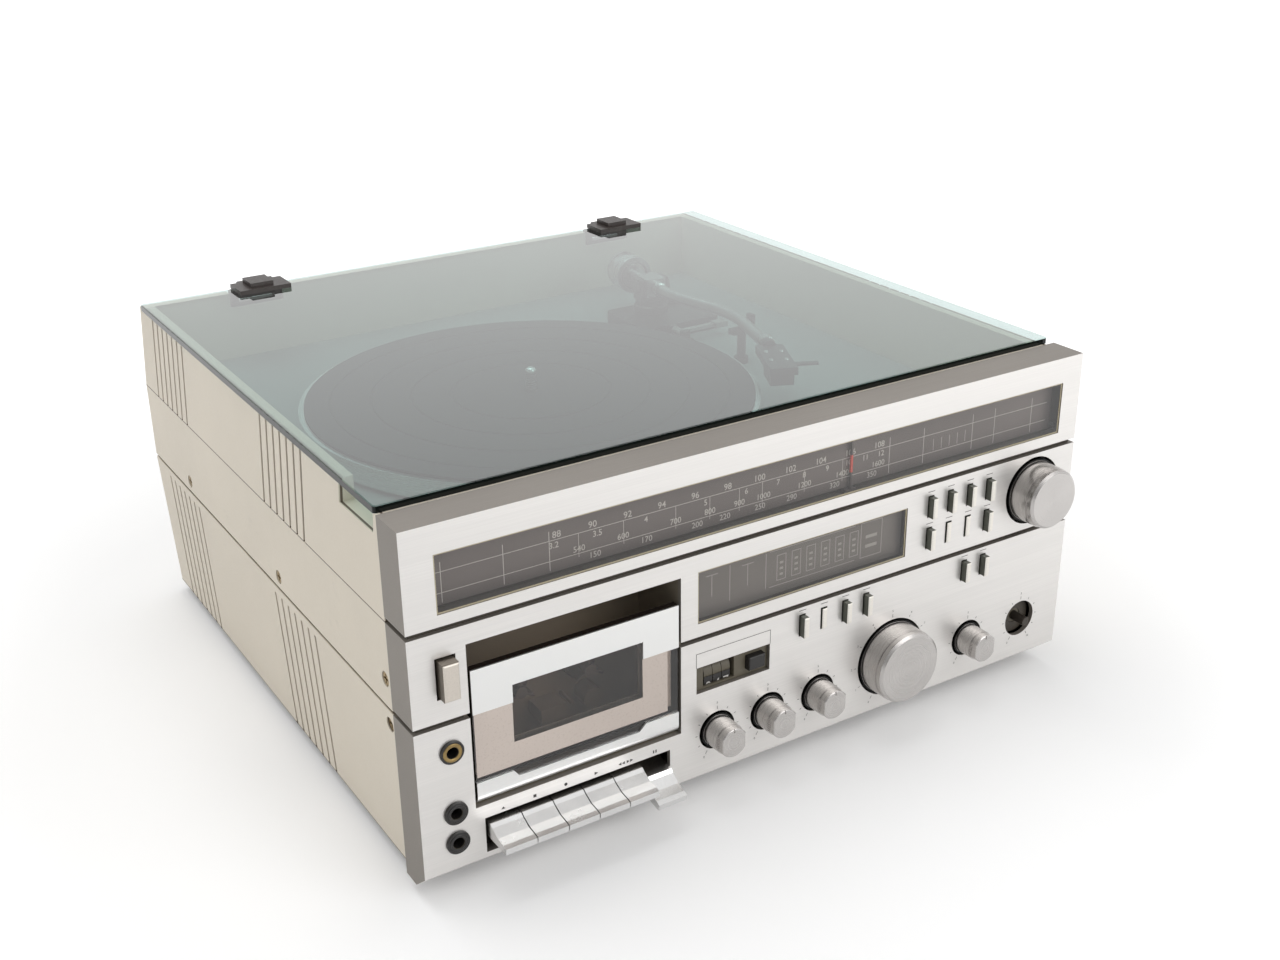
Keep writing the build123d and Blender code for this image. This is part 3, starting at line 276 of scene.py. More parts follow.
def turned_metal(name, colour, centre, axis="y", rough=0.26, metallic=1.0, flange=None):
    """Turned on a lathe: fine rings round a centre; where a flange is given, black past that radius as
    painted shade of the gap round the knob.
    """
    t = Tree(name)
    place = t.parts(t.mapping(shift=tuple(-value * MM for value in centre)))
    across, up, along = (place[0], place[2], place[1]) if axis == "y" else (place[0], place[1], place[2])
    square = t.math("ADD", t.math("MULTIPLY", across, across), t.math("MULTIPLY", up, up))
    radius = t.math("SQRT", square)
    both = t.add("ShaderNodeCombineXYZ")
    t.join(radius, both.inputs[0])
    t.join(along, both.inputs[1])
    rings = t.noise(5200, 3, both.outputs[0], 0.6)
    tone = t.tones(rings, colour, 0.94, 1.04)
    if flange:
        # Painted shade: black past the flange radius stands for the dark gap round the knob
        tone = t.blend(t.math("GREATER_THAN", radius, flange * MM), tone, BLACK)
        t.set(Anisotropic=0.7)
        grain = t.add("ShaderNodeTangent", direction_type="RADIAL", axis="Y")
        t.feed(Tangent=grain.outputs[0])
    t.feed(Base_Color=tone, Roughness=t.span(rings, rough - 0.04, rough + 0.06),
           Normal=t.bump(rings, 0.04, 0.0001))
    t.set(Metallic=metallic)
    return t.material


def plain_metal(name, colour, rough=0.25):
    """Polished or plated metal with faint wear."""
    t = Tree(name)
    marks = t.noise(70, 4)
    t.feed(Base_Color=t.tones(marks, colour, 0.95, 1.03), Roughness=t.span(marks, rough - 0.02, rough + 0.04))
    t.set(Metallic=1.0)
    return t.material


def clear_sheet(name, tint, edge, through, shine):
    """A clear tinted sheet: light passes, the surface mirrors the room, and the cut edge is dark.

    The axis that runs through the sheet is 0, 1 or 2, and shine scales its mirror from outside.
    """
    t = Tree(name)
    t.set(Metallic=0.0, IOR=1.5, Specular_IOR_Level=0.25)
    is_edge = t.math("LESS_THAN", t.math("ABSOLUTE", t.facing()[through]), 0.5)
    t.feed(Roughness=t.span(t.noise(3.5, 5), 0.01, 0.07), Base_Color=t.blend(is_edge, CLEAR_BODY, edge))
    clear = t.add("ShaderNodeBsdfTransparent")
    clear.inputs["Color"].default_value = tint
    gloss = t.add("ShaderNodeBsdfGlossy")
    gloss.inputs["Color"].default_value = WHITE
    gloss.inputs["Roughness"].default_value = 0.02
    mirror = t.add("ShaderNodeFresnel")
    mirror.inputs["IOR"].default_value = 1.5
    outside = t.math("SUBTRACT", 1.0, t.add("ShaderNodeNewGeometry").outputs["Backfacing"])
    share = t.math("MULTIPLY", t.math("MULTIPLY", mirror.outputs[0], shine), outside)
    face = t.mix_shaders(share, clear.outputs[0], gloss.outputs[0])
    whole = t.mix_shaders(t.math("MULTIPLY", is_edge, outside), face, t.shader.outputs[0])
    t.join(whole, t.output.inputs["Surface"])
    return t.material


def ink(name, colour):
    """Screen-printed ink."""
    t = Tree(name)
    thin = t.noise(1400, 3)
    tone = t.blend(t.span(thin, 0, 1), shade(colour, 0.85), colour)
    t.feed(Base_Color=tone, Roughness=t.span(thin, 0.5, 0.7))
    return t.material


POINTER_RED_LOW = 177.5
POINTER_RED_HIGH = 188


def pointer_paint():
    """Dark slider and needle, with a red stretch at the height of the scale's middle rows."""
    t = Tree("pointer_paint")
    height = t.parts(t.place.outputs["Object"])[2]
    lit = t.math("MULTIPLY", t.math("GREATER_THAN", height, POINTER_RED_LOW * MM),
                 t.math("LESS_THAN", height, POINTER_RED_HIGH * MM))
    fine = t.noise(900, 2)
    dark = t.blend(t.span(fine, 0, 1), lin(88, 82, 82), lin(96, 90, 90))
    t.feed(Base_Color=t.blend(lit, dark, lin(216, 84, 74)), Roughness=t.span(fine, 0.4, 0.5))
    return t.material


# Materials of the pieces that scene.py adds, some of them shared with the CAD's nodes
black_plastic = plastic("black_plastic", lin(34, 32, 31), 0.4)
brass = plain_metal("brass", lin(150, 128, 86), 0.32)
chrome = plain_metal("chrome", (0.6, 0.58, 0.57, 1), 0.16)
dark_metal = plain_metal("dark_metal", lin(80, 76, 73), 0.35)
dial_ground = plastic("dial_ground", lin(108, 101, 101), 0.5, 1200, 0.05)
level_ground = plastic("level_ground", lin(112, 107, 105), 0.5, 1200, 0.05)
mask_beige = plastic("mask_beige", lin(197, 185, 176), 0.3)
bead_beige = plastic("bead_beige", lin(178, 168, 142), 0.45)
ink_dark = ink("ink_dark", lin(70, 68, 66))
ink_light = ink("ink_light", lin(214, 212, 208))
ink_grey = ink("ink_grey", lin(176, 173, 170))


# Materials of the CAD's nodes


def dress(material, *names):
    """Give CAD nodes a material."""
    for name in names:
        slots = nodes[name].data.materials
        slots.clear()
        slots.append(material)


def dress_cabinet():
    """Cases, panels, feet and what is behind the panels."""
    middle = plastic("cream_middle_case", CREAM, 0.5, 700, 0.16, 0.035, marked=shade(CREAM, 0.86))
    dress(case_plastic("cream_low_case", CREAM, BOTTOM_CASE_LOW, BOTTOM_CASE_HIGH, -4.3), "bottom_case")
    dress(middle, "middle_case")
    dress(case_plastic("cream_plinth", CREAM, PLINTH_LOW, PLINTH_HIGH, 3.2), "plinth")
    dress(panel_metal("panel_silver", SILVER, SIDE_GREY), "lower_panel", "middle_panel", "dial_panel")
    dress(plastic("dark_frame", lin(66, 60, 52), 0.5), "panel_frame")
    dress(plastic("rubber_black", lin(38, 38, 38), 0.75, 500, 0.3), "feet")
    dress(clear_sheet("window_pane", lin(248, 247, 245), lin(168, 156, 128), 1, 1.3), "window_panes")
    dress(plastic("board_green", lin(88, 108, 82), 0.5), "electronics")
    dress(plastic("counter_olive", lin(92, 86, 72), 0.5), "panel_controls")
    dress(black_plastic, "counter_reset", "rear_panel")
    dress(brass, "case_screws")
    dress(pointer_paint(), "dial_pointer")


def dress_turntable():
    """Lid with its hinges, platter, mat, tonearm and drive."""
    clamps = plastic("clamp_plastic", lin(52, 45, 42), 0.38, marked=lin(95, 88, 82))
    axle = (LEFT + 182.5, FRONT + 206, 0)
    dress(clear_sheet("lid_glass", lin(218, 230, 228), lin(10, 18, 17), 2, 1.8), "lid_glass")
    dress(clamps, "lid_clamps")
    dress(black_plastic, "arm_mounts")
    dress(plain_metal("steel", (0.6, 0.6, 0.59, 1)), "belt_drive")
    dress(brass, "motor_pulley")
    dress(dark_metal, "arm_yoke", "hinge_brackets")
    dress(plain_metal("arm_metal", (0.42, 0.4, 0.39, 1), 0.3), "tonearm", "cue_lever")
    dress(plastic("shell_black", lin(44, 44, 45), 0.35), "headshell")
    dress(turned_metal("platter_metal", (0.78, 0.78, 0.77, 1), axle, "z"), "platter")
    dress(turned_metal("mat_rubber", lin(52, 52, 52), axle, "z", 0.7, 0.0), "platter_mat")


def dress_cassette_deck():
    """Bay, door, reels and keys."""
    dress(plastic("bay_plastic", lin(122, 114, 101), 0.42), "cassette_well")
    dress(clear_sheet("smoked_pane", lin(236, 229, 224), lin(40, 34, 30), 1, 1.5), "cassette_door")
    # The reels are white plastic; their dark grey is painted shade of the dark bay behind the smoked door
    dress(plastic("reel_shaded_grey", lin(82, 78, 74), 0.4), "reel_left", "reel_right")
    keys = [name for name in nodes if name.startswith("tape_key")]
    dress(plain_metal("key_silver", (0.72, 0.715, 0.71, 1), 0.24), *keys)


KNOB_ROW = 45.0
SMALL_WELL = 12.0
# Centre, height and well radius of each control that has a printed scale
WELLS = {
    "rec_knob_left": (LEFT + 182.5, KNOB_ROW, SMALL_WELL),
    "rec_knob_right": (LEFT + 217.7, KNOB_ROW, SMALL_WELL),
    "balance_knob": (LEFT + 254.1, KNOB_ROW, SMALL_WELL),
    "bass_knob": (RIGHT - 78.4, KNOB_ROW, SMALL_WELL),
    "treble_shaft": (RIGHT - 33.1, KNOB_ROW, SMALL_WELL),
    "volume_knob": (RIGHT - 140.5, 51.5, 25.2),
}
TUNING_CENTRE = (RIGHT - 32.5, 134.1)
FLANGE_WIDTH = 1.1


def dress_controls():
    """Knobs whose flange is painted black as shade of the gap round them, buttons, and the bare shaft."""
    centres = {name: (x, z) for name, (x, z, radius) in WELLS.items() if name != "treble_shaft"}
    centres["tuning_knob"] = TUNING_CENTRE
    for name, (x, z) in centres.items():
        low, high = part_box(name)
        flange = (high.x - low.x) / 2 / MM - FLANGE_WIDTH
        dress(turned_metal(name + "_metal", KNOB_SILVER, (x, 0, z), flange=flange), name)
    buttons = [name for name in nodes if "_button_" in name]
    # The second colour of each button material is painted shade on the buttons' flanks
    dress(faced("button_silver", lin(232, 228, 220), lin(84, 86, 78)), *buttons)
    dress(faced("power_grey", lin(208, 200, 190), lin(112, 104, 94)), "power_button")
    dress(plastic("shaft_dark", lin(64, 58, 52), 0.35, metallic=0.4), "treble_shaft")


dress_cabinet()
dress_turntable()
dress_cassette_deck()
dress_controls()


# Ways to make a piece


def add_mesh(name, vertices, faces, material, body, smooth=False):
    """A mesh object from corner points in millimetres, riding on a body."""
    mesh = bpy.data.meshes.new(name)
    mesh.from_pydata([(x * MM, y * MM, z * MM) for x, y, z in vertices], [], faces)
    mesh.update()
    mesh.materials.append(material)
    if smooth:
        for face in mesh.polygons:
            face.use_smooth = True
    piece = bpy.data.objects.new(name, mesh)
    bpy.context.scene.collection.objects.link(piece)
    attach(piece, body)
    return piece


def printed(name, outlines, y, material, body="cabinet"):
    """Ink or thin sheet on the front: flat shapes in the plane at y, each an outline of (x, z) corners."""
    vertices = []
    faces = []
    for outline in outlines:
        start = len(vertices)
        vertices.extend((x, y, z) for x, z in outline)
        faces.append(tuple(range(start, start + len(outline))))
    return add_mesh(name, vertices, faces, material, body)


def bar(x0, x1, z0, z1):
    """An upright rectangle."""
    return [(x0, z0), (x1, z0), (x1, z1), (x0, z1)]


def upright(x, half, z0, z1):
    """A thin vertical line, given by its middle and half its width."""
    return bar(x - half, x + half, z0, z1)


def border(x0, x1, z0, z1, width):
    """The four sides of a rectangle, inside its edges."""
    return [bar(x0, x1, z1 - width, z1), bar(x0, x1, z0, z0 + width),
            bar(x0, x0 + width, z0 + width, z1 - width), bar(x1 - width, x1, z0 + width, z1 - width)]


def words(text, size, x, z, stroke=0.0):
    """Outlines of a number, centred on x and standing on z."""
    curve = bpy.data.curves.new("text", "FONT")
    curve.body = text
    curve.size = size
    curve.align_x = "CENTER"
    curve.resolution_u = 3
    curve.offset = stroke
    holder = bpy.data.objects.new("text", curve)
    mesh = bpy.data.meshes.new_from_object(holder)
    shapes = []
    for face in mesh.polygons:
        shapes.append([(x + mesh.vertices[i].co.x, z + mesh.vertices[i].co.y) for i in face.vertices])
    bpy.data.objects.remove(holder)
    bpy.data.curves.remove(curve)
    bpy.data.meshes.remove(mesh)
    return shapes


# Edges that turn by more than this many radians stay sharp
SHARP = 0.6


def lathe(name, profile, centre, material, body, axis="y", steps=64, turn=None):
    """A turned piece: profile points are (radius, distance along the axis) in millimetres."""
    vertices = []
    faces = []
    count = len(profile)
    for step in range(steps):
        angle = 2 * math.pi * step / steps
        for radius, along in profile:
            point = Vector((radius * math.cos(angle), radius * math.sin(angle), along))
            if axis == "y":
                point = Vector((point.x, point.z, -point.y))
            if turn:
                point = turn @ point
            vertices.append(tuple(point + Vector(centre)))
    for step in range(steps):
        here = step * count
        after = (step + 1) % steps * count
        for i in range(count - 1):
            faces.append((here + i, after + i, after + i + 1, here + i + 1))
    piece = add_mesh(name, vertices, faces, material, body, smooth=True)
    edges = bmesh.new()
    edges.from_mesh(piece.data)
    bmesh.ops.remove_doubles(edges, verts=edges.verts, dist=1e-6)
    bmesh.ops.recalc_face_normals(edges, faces=edges.faces)
    for edge in edges.edges:
        if len(edge.link_faces) == 2 and edge.calc_face_angle() > SHARP:
            edge.smooth = False
    edges.to_mesh(piece.data)
    edges.free()
    return piece


# Printed dial behind the long window
DIAL_FACE = FRONT + 9
PRINT = 0.12
OVERLAP = 0.8
DIAL_LEFT = LEFT + 17.3
DIAL_RIGHT = RIGHT - 14.8
FM_FIRST = LEFT + 89
FM_PITCH = 21.05
# Numbers of the lower three scales, with their distance from the left edge, and each row's height
SHORT_WAVE = (("3.2", 87.2), ("3.5", 112.8), ("4", 142.3), ("5", 179.9), ("6", 206.6), ("7", 228.0),
              ("8", 246.0), ("9", 262.2), ("10", 277.3), ("11", 289.6), ("12", 301.0))
MEDIUM_WAVE = (("540", 101.8), ("600", 128.2), ("700", 160.7), ("800", 182.7), ("900", 202.0),
               ("1000", 218.1), ("1200", 246.2), ("1400", 273.0), ("1600", 299.2))
LONG_WAVE = (("150", 111.1), ("170", 142.5), ("200", 174.5), ("220", 192.5), ("250", 215.9),
             ("290", 237.6), ("320", 267.8), ("350", 294.8))
ROWS = ((SHORT_WAVE, 181.4), (MEDIUM_WAVE, 175.6), (LONG_WAVE, 169.9))
FM_ROW = 187.0
LONG_LINES = (24.5, 58.5, 84.6, 307.4, 333.2, 371.4, 389.2, 419.5)
SHORT_LINES = (101.6, 128.5, 160.8, 182.6, 201.9, 217.3, 246.2, 273.1)
TUNING_METER = 341
METER_PITCH = 6.2


def dial():
    """Grey ground and the scales printed on it."""
    ground = bar(DIAL_LEFT - OVERLAP, DIAL_RIGHT + OVERLAP, 168.0, 201.2)
    printed("dial_ground_sheet", [ground], DIAL_FACE - PRINT, dial_ground)
    shapes = []
    for i in range(11):
        shapes += words(str(88 + 2 * i), 5.2, FM_FIRST + FM_PITCH * i, FM_ROW, 0.03)
    for row, z in ROWS:
        for number, x in row:
            shapes += words(number, 4.8, LEFT + x, z, 0.03)
    for z in (185.7, 174.3):
        shapes.append(bar(DIAL_LEFT + 2, DIAL_RIGHT - 3, z, z + 0.35))
    for x in LONG_LINES:
        shapes.append(upright(LEFT + x, 0.2, 169.2, 191.2))
    for x in SHORT_LINES:
        shapes.append(upright(LEFT + x, 0.15, 172.5, 186))
    for i in range(5):
        shapes.append(upright(LEFT + TUNING_METER + METER_PITCH * i, 0.15, 175.5, 182.5))
    printed("dial_print", shapes, DIAL_FACE - 2 * PRINT, ink_light)


# Printed plate behind the level window
LEVEL_FACE = FRONT + 6
LEVEL_LEFT = LEFT + 169.2
LEVEL_WIDE = 147
LINE = 0.5
LINE_LOW = 121
LINE_HIGH = 143
LAMP_WIDE = 6.6
LAMP_PITCH = 10.4
LAMP_LOW = 124
LAMP_HIGH = 140


def level_plate():
    """Grey ground, two T marks, dividing lines, six lamp boxes and the frames round them."""
    ground = bar(LEVEL_LEFT - OVERLAP, LEVEL_LEFT + LEVEL_WIDE + OVERLAP, 116.0, 148.8)
    printed("level_ground_sheet", [ground], LEVEL_FACE - PRINT, level_ground)
    shapes = []
    for x in (13, 37):
        shapes.append(upright(LEVEL_LEFT + x, LINE / 2, 127, LAMP_HIGH))
    for x in (25, 49.5):
        shapes.append(upright(LEVEL_LEFT + x, LINE / 2, LINE_LOW, LINE_HIGH))
    for x in (13, 37):
        shapes.append(bar(LEVEL_LEFT + x - 4, LEVEL_LEFT + x + 4, LAMP_HIGH, LAMP_HIGH + LINE))
    for i in range(6):
        x = LEVEL_LEFT + 57 + LAMP_PITCH * i
        shapes += [bar(x, x + LAMP_WIDE, LAMP_LOW, LAMP_LOW + LINE),
                   bar(x, x + LAMP_WIDE, LAMP_HIGH - LINE, LAMP_HIGH),
                   bar(x, x + LINE, LAMP_LOW, LAMP_HIGH),
                   bar(x + LAMP_WIDE - LINE, x + LAMP_WIDE, LAMP_LOW, LAMP_HIGH)]
        for z in (127, 130.6, 134.2):
            shapes.append(bar(x + 2.1, x + 4.5, z, z + 1.4))
    for x0, x1 in ((52, 113), (117.5, 133)):
        for z in (LINE_LOW, LINE_HIGH):
            shapes.append(bar(LEVEL_LEFT + x0, LEVEL_LEFT + x1, z, z + LINE))
    for x in (117.5, 133):
        shapes.append(upright(LEVEL_LEFT + x, LINE / 2, LINE_LOW, LINE_HIGH))
    for z in (127, 133):
        shapes.append(bar(LEVEL_LEFT + 121, LEVEL_LEFT + 129.5, z, z + 2))
    printed("level_print", shapes, LEVEL_FACE - 2 * PRINT, ink_grey)


# Pale beads that hold the panes round the two windows
BEAD = 0.9
BEAD_GAP = 0.02
BEAD_DEPTH = 0.72


def window_beads():
    """A thin frame just inside each window's opening."""
    shapes = []
    for x0, x1, z0, z1 in ((DIAL_LEFT, DIAL_RIGHT, 168.0, 200.5),
                           (LEVEL_LEFT, LEVEL_LEFT + LEVEL_WIDE, 116.5, 148.0)):
        shapes += border(x0 + BEAD_GAP, x1 - BEAD_GAP, z0 + BEAD_GAP, z1 - BEAD_GAP, BEAD)
    printed("window_beads", shapes, FRONT + BEAD_DEPTH, bead_beige)


# Ink on the panels
INK = FRONT - 0.06
COUNTER_LEFT = LEFT + 168.4
COUNTER_WIDE = 50
KEY_LEFT = LEFT + 37.3
KEY_PITCH = 18.8
SIGN_ROW = 44.6


def knob_scales():
    """Eleven ticks round each knob, all numbered round the large one, else only the ends and the middle."""
    ticks = []
    digits = []
    for x, z, radius in WELLS.values():
        for i in range(11):
            angle = math.radians(-150 + 30 * i)
            low = radius + 1.4
            high = low + (2.2 if i in (0, 5, 10) else 1.3)
            along = Vector((math.sin(angle), math.cos(angle)))
            side = Vector((along.y, -along.x)) * 0.16
            corners = (along * low - side, along * low + side, along * high + side, along * high - side)
            ticks.append([(x + corner.x, z + corner.y) for corner in corners])
            if i % 5 == 0 or radius > SMALL_WELL:
                spot = along * (high + 2.1)
                digits += words(str(i), 2.0, x + spot.x, z + spot.y - 0.7)
    printed("knob_scales", ticks + digits, INK, ink_dark)


def key_signs():
    """Plain signs over the six tape keys."""
    eject, stop, record, play, wind, pause = (KEY_LEFT + KEY_PITCH * (i + 0.5) for i in range(6))
    low = SIGN_ROW
    middle = SIGN_ROW + 0.95
    high = SIGN_ROW + 1.9
    shapes = [[(eject - 1.2, low), (eject + 1.2, low), (eject, low + 1.5)],
              bar(stop - 0.9, stop + 0.9, low, low + 1.8)]
    turns = [math.radians(30 * i) for i in range(12)]
    shapes.append([(record + math.cos(angle), middle + math.sin(angle)) for angle in turns])
    shapes.append([(play - 1, low), (play + 1.3, middle), (play - 1, high)])
    for centre, way in ((wind - 2.6, -1), (wind + 2.6, 1)):
        for step in (-1.1, 1.1):
            base = centre + step - way * 0.9
            shapes.append([(base, low), (base + way * 1.9, middle), (base, high)][::way])
    for step in (-0.8, 0.8):
        shapes.append(upright(pause + step, 0.4, low, high))
    return shapes


def panel_signs():
    """Frame line over the tape counter, signs over the keys, a dash over each button."""
    right = COUNTER_LEFT + COUNTER_WIDE
    shapes = [bar(COUNTER_LEFT - 0.3, right + 0.3, 97.7, 98.0), bar(COUNTER_LEFT - 0.3, COUNTER_LEFT, 89, 98),
              bar(right, right + 0.3, 89, 98)]
    shapes += key_signs()
    for name in nodes:
        if "_button_" in name:
            low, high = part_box(name)
            middle = (low.x + high.x) / 2 / MM
            top = high.z / MM
            shapes.append(bar(middle - 2.6, middle + 2.6, top + 3.0, top + 3.35))
    printed("panel_signs", shapes, INK, ink_dark)


# Tape counter: the wheels' faces and numbers
WHEEL_FRONT = FRONT + 3.9
WHEEL_PITCH = 6
WHEEL_DIGITS = (0, 4, 7)


def counter_wheels():
    """Three black wheels with a pale number each."""
    digits = []
    faces = []
    for wheel, digit in enumerate(WHEEL_DIGITS):
        digits += words(str(digit), 8.4, COUNTER_LEFT + 10.4 + WHEEL_PITCH * wheel, 69.8)
        low_x = COUNTER_LEFT + 7.65 + WHEEL_PITCH * wheel
        faces.append(bar(low_x, low_x + 5.5, 66.6, 78.9))
    printed("counter_numbers", digits, WHEEL_FRONT - 0.1, ink_light)
    printed("counter_wheel_faces", faces, WHEEL_FRONT - 0.05, black_plastic)


# Beige mask on the cassette door's pane
DOOR_PLATE = FRONT + 1.0
MASK_LEFT = LEFT + 33.5
MASK_RIGHT = LEFT + 150.0
MASK_LOW = 68.0
MASK_HIGH = 106.0
WINDOW_LEFT = LEFT + 55.6
WINDOW_RIGHT = LEFT + 134.0
WINDOW_LOW = 82.0


def door_mask():
    """The mask's two flanks and its foot, round the clear window."""
    shapes = [bar(MASK_LEFT, WINDOW_LEFT, MASK_LOW, MASK_HIGH),
              bar(WINDOW_RIGHT, MASK_RIGHT, MASK_LOW, MASK_HIGH),
              bar(WINDOW_LEFT, WINDOW_RIGHT, MASK_LOW, WINDOW_LOW)]
    printed("door_mask", shapes, DOOR_PLATE - 0.06, mask_beige, "door")


# Sockets at the left
JACK_X = LEFT + 19.8
NUT = [(3.4, 0.4), (3.4, -0.3), (3.8, -0.55), (5.0, -0.55), (5.3, -0.3), (5.5, 0.1)]
SLEEVE = [(3.2, 0), (3.2, 18), (2.2, 18), (2.2, 18.5), (0, 18.5)]
COLLAR = [(6.62, 1.1), (6.62, 0.0), (6.2, -0.3), (5.4, -0.2)]


def sockets():
    """Nut, inner sleeve and collar of each phone socket."""
    for name, z, material in (("headphone", 89.6, brass), ("microphone_left", 52.8, black_plastic),
                              ("microphone_right", 34.7, black_plastic)):
        lathe(name + "_nut", NUT, (JACK_X, FRONT - 1.2, z), material, "cabinet")
        lathe(name + "_sleeve", SLEEVE, (JACK_X, FRONT - 1.0, z), black_plastic, "cabinet")
        lathe(name + "_collar", COLLAR, (JACK_X, FRONT - 1.2, z), black_plastic, "cabinet")


# Tonearm details; the arm's own axes have their origin at the pivot and y along the stub
PIVOT = Vector((LEFT + 346, FRONT + 321, DECK + 29.2))
BASE_TOP = DECK + 9.5


def about_z(degrees):
    """A turn about the upright axis."""
    return Matrix.Rotation(math.radians(degrees), 3, "Z")


ARM_TURN = about_z(-7)
SHELL_ANGLE = -17.8
SHELL_END = Vector((8.7, -157, 0))
SHELL_TOP = 2.05
WEIGHT = [(3.6, -0.3), (9.5, -0.3), (12.6, 0.6), (13.7, 2), (13.7, 6), (13.2, 6.5), (13.2, 7.5), (13.7, 8),
          (13.7, 18), (12.8, 19.8), (9, 20.4), (3.6, 20.4)]
WEIGHT_RING = [(9.6, -1.6), (10.2, -1.2), (10.2, -0.2), (3.6, -0.2)]
STUB_END = [(3.6, 0), (4.2, 0.4), (4.2, 3), (3.6, 3.6), (0, 3.6)]
TUBE_ROOT = [(4.1, 0), (5.6, 0.6), (5.6, 6), (4.1, 8)]
SHELL_COLLAR = [(4.1, 0), (5.4, 0.5), (5.4, 3.2), (5.0, 3.6), (5.4, 4), (5.4, 6.6), (4.1, 7)]
PIVOT_CAP = [(0, 0), (4.5, 0), (5.2, 0.5), (5.2, 1.6), (4.4, 2.2), (0, 2.2)]
PIVOT_SKIRT = [(11.6, 0), (12.6, 0.6), (12.6, 5.2), (11.4, 6.2)]
SKATING_DIAL = [(0, 3.4), (5.6, 3.4), (6.2, 2.8), (6.2, 0)]
SCREW_HEAD = [(0, 0.9), (1.3, 0.7), (1.6, 0)]


def arm_point(x, y, z):
    """A place in the arm's own axes, in the frame's."""
    return tuple(PIVOT + ARM_TURN @ Vector((x, y, z)))


def tonearm_details():
    """Counterweight, collars, pivot caps and skirt, skating dial and the headshell's screws."""
    behind = arm_point(0, 28, 0)
    lathe("counterweight_shell", WEIGHT, behind, chrome, "arm", turn=ARM_TURN)
    lathe("weight_scale", WEIGHT_RING, behind, black_plastic, "arm", turn=ARM_TURN)
    lathe("stub_end", STUB_END, arm_point(0, 59, 0), chrome, "arm", turn=ARM_TURN)
    lathe("tube_root", TUBE_ROOT, arm_point(0.1, -16.5, 0), chrome, "arm", turn=ARM_TURN @ about_z(-6))
    lathe("shell_collar", SHELL_COLLAR, arm_point(*SHELL_END), chrome, "arm",
          turn=ARM_TURN @ about_z(SHELL_ANGLE))
    for name, side in (("left", -1), ("right", 1)):
        lathe("pivot_cap_" + name, PIVOT_CAP, arm_point(side * 11.2, 0, 0), dark_metal, "arm_yoke",
              turn=ARM_TURN @ about_z(-90 * side))
    lathe("pivot_skirt", PIVOT_SKIRT, (PIVOT.x, PIVOT.y, BASE_TOP), dark_metal, "cabinet", axis="z")
    lathe("skating_dial", SKATING_DIAL, (LEFT + 371, FRONT + 330, BASE_TOP), dark_metal, "cabinet", axis="z")
    for along in (20, 36):
        for name, side in (("a", -5), ("b", 5)):
            point = SHELL_END + about_z(SHELL_ANGLE) @ Vector((side, -along, 0))
            place = arm_point(point.x, point.y, SHELL_TOP)
            lathe(f"shell_screw_{along}_{name}", SCREW_HEAD, place, chrome, "arm", axis="z", steps=24)


dial()
level_plate()
window_beads()
knob_scales()
panel_signs()
counter_wheels()
door_mask()
sockets()
tonearm_details()


# Camera at the photograph's place and angle, in metres and unit vectors
CAMERA_PLACE = (-0.472842, -0.812503, 0.5274)
CAMERA_RIGHT = Vector((0.844665, -0.53517, -0.01159))
CAMERA_DOWN = Vector((-0.22494, -0.335212, -0.914896))
CAMERA_AHEAD = Vector((0.48574, 0.775388, -0.403523))
LENS = 43.667


def place_camera():
    """The camera that the photograph was solved to."""
    data = bpy.data.cameras.new("camera")
    data.lens = LENS
    data.sensor_width = 36
    data.clip_end = 50
    camera = bpy.data.objects.new("camera", data)
    turn = Matrix((CAMERA_RIGHT, -CAMERA_DOWN, -CAMERA_AHEAD)).transposed().to_4x4()
    camera.matrix_world = Matrix.Translation(Vector(CAMERA_PLACE)) @ turn
    bpy.context.scene.collection.objects.link(camera)
    bpy.context.scene.camera = camera


# Floor: distances in metres; its glow runs from low to high between near and far
FLOOR_HALF = 8
GLOW_NEAR = 0.38
GLOW_FAR = 1.0
GLOW_LOW = 0.16
GLOW_HIGH = 0.6
VIEWER_SHIFT = (0.3, 0.72, 0)
VIEWER_NEAR = 0.15
VIEWER_FAR = 0.6
VIEWER_DIM = 0.15


def floor_white():
    """Brighter to the camera further out, with the object's shadow kept near it.

    Metal sees a darker patch of it where a viewer stands, at the front left.
    """
    t = Tree("floor_white")
    t.set(Roughness=0.9)
    patch = t.noise(2.0, 2)
    t.feed(Base_Color=t.blend(t.span(patch, 0, 1), (0.80, 0.80, 0.80, 1), (0.83, 0.83, 0.83, 1)))
    glow = t.add("ShaderNodeEmission")
    glow.inputs["Color"].default_value = WHITE
    path = t.add("ShaderNodeLightPath")
    seen = t.math("MAXIMUM", path.outputs["Is Camera Ray"], path.outputs["Is Glossy Ray"])
    seen = t.math("MAXIMUM", seen, path.outputs["Is Transmission Ray"])
    reach = t.add("ShaderNodeVectorMath", operation="LENGTH")
    t.join(t.place.outputs["Object"], reach.inputs[0])
    glowing = t.span(reach.outputs["Value"], GLOW_LOW, GLOW_HIGH, GLOW_NEAR, GLOW_FAR)
    bright = t.math("MULTIPLY", seen, glowing)
    viewer = t.add("ShaderNodeVectorMath", operation="LENGTH")
    t.join(t.mapping(shift=VIEWER_SHIFT), viewer.inputs[0])
    near = t.span(viewer.outputs["Value"], VIEWER_DIM, 1.0, VIEWER_NEAR, VIEWER_FAR)
    missing = t.math("MULTIPLY", t.math("SUBTRACT", 1.0, near), path.outputs["Is Glossy Ray"])
    t.join(t.math("MULTIPLY", bright, t.math("SUBTRACT", 1.0, missing)), glow.inputs["Strength"])
    both = t.add("ShaderNodeAddShader")
    t.join(t.shader.outputs[0], both.inputs[0])
    t.join(glow.outputs[0], both.inputs[1])
    t.join(both.outputs[0], t.output.inputs["Surface"])
    return t.material


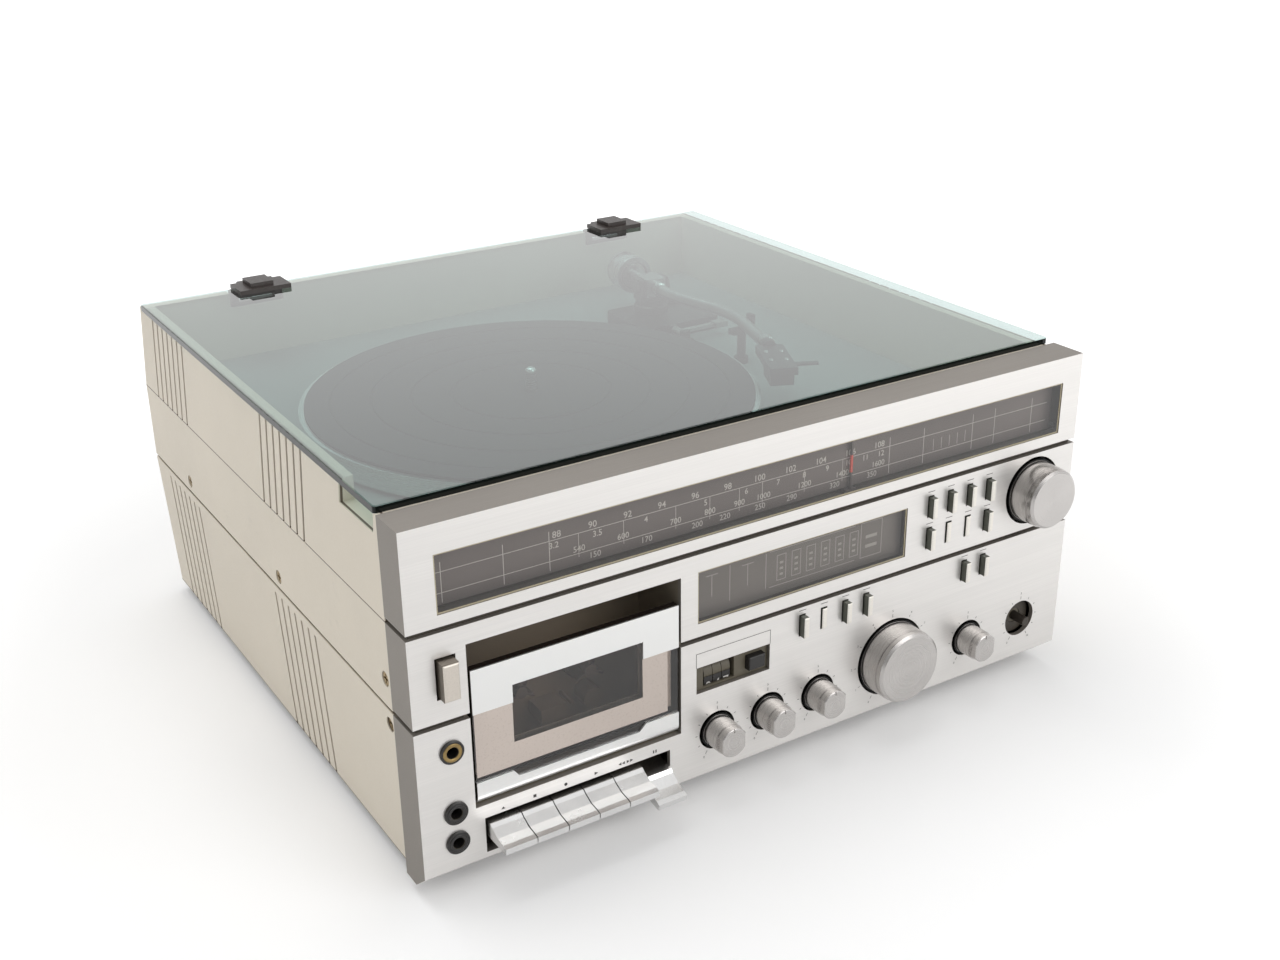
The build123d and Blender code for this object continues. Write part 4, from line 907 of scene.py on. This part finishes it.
def lay_floor():
    """A large square under the object."""
    half = FLOOR_HALF
    mesh = bpy.data.meshes.new("floor")
    corners = [(-half, -half, 0), (half, -half, 0), (half, half, 0), (-half, half, 0)]
    mesh.from_pydata(corners, [], [(0, 1, 2, 3)])
    mesh.materials.append(floor_white())
    floor = bpy.data.objects.new("floor", mesh)
    bpy.context.scene.collection.objects.link(floor)


ROOM_LIGHT = 0.55


def light_room():
    """A soft white room; metal sees it darker to the left, and the camera sees it white."""
    world = bpy.data.worlds.new("room")
    bpy.context.scene.world = world
    world.use_nodes = True
    tree = world.node_tree
    background = tree.nodes["Background"]
    background.inputs["Color"].default_value = WHITE
    path = tree.nodes.new("ShaderNodeLightPath")

    def room_math(operation, first, second):
        """A number worked out in the room's tree."""
        node = tree.nodes.new("ShaderNodeMath")
        node.operation = operation
        for value, socket in ((first, node.inputs[0]), (second, node.inputs[1])):
            if isinstance(value, (int, float)):
                socket.default_value = value
            else:
                tree.links.new(value, socket)
        return node.outputs[0]

    bearing = tree.nodes.new("ShaderNodeSeparateXYZ")
    tree.links.new(tree.nodes.new("ShaderNodeTexCoord").outputs["Generated"], bearing.inputs[0])
    level = tree.nodes.new("ShaderNodeMapRange")
    for key, value in (("From Min", -0.7), ("From Max", 0.1), ("To Min", 0.25), ("To Max", 1.0)):
        level.inputs[key].default_value = value
    tree.links.new(bearing.outputs["X"], level.inputs["Value"])
    extra = room_math("SUBTRACT", level.outputs["Result"], ROOM_LIGHT)
    plain = room_math("ADD", room_math("MULTIPLY", extra, path.outputs["Is Glossy Ray"]), ROOM_LIGHT)
    shown = room_math("MULTIPLY", room_math("SUBTRACT", 1.0, plain), path.outputs["Is Camera Ray"])
    tree.links.new(room_math("ADD", plain, shown), background.inputs["Strength"])


LAMP_TARGET = Vector((0, 0, 0.1))


def softbox(name, place, size, power):
    """A large square lamp aimed at the object, with its place and size in metres."""
    data = bpy.data.lights.new(name, "AREA")
    data.shape = "SQUARE"
    data.size = size
    data.energy = power
    lamp = bpy.data.objects.new(name, data)
    bpy.context.scene.collection.objects.link(lamp)
    lamp.location = place
    lamp.rotation_euler = (LAMP_TARGET - Vector(place)).to_track_quat("-Z", "Y").to_euler()


place_camera()
lay_floor()
light_room()
softbox("top_light", (-0.3, 0.5, 2.4), 1.8, 26)
softbox("front_light", (0.9, -2.2, 1.3), 1.6, 21)
softbox("left_light", (-2.4, 0.1, 1.1), 1.6, 6)

scene = bpy.context.scene
scene.view_settings.view_transform = "Standard"
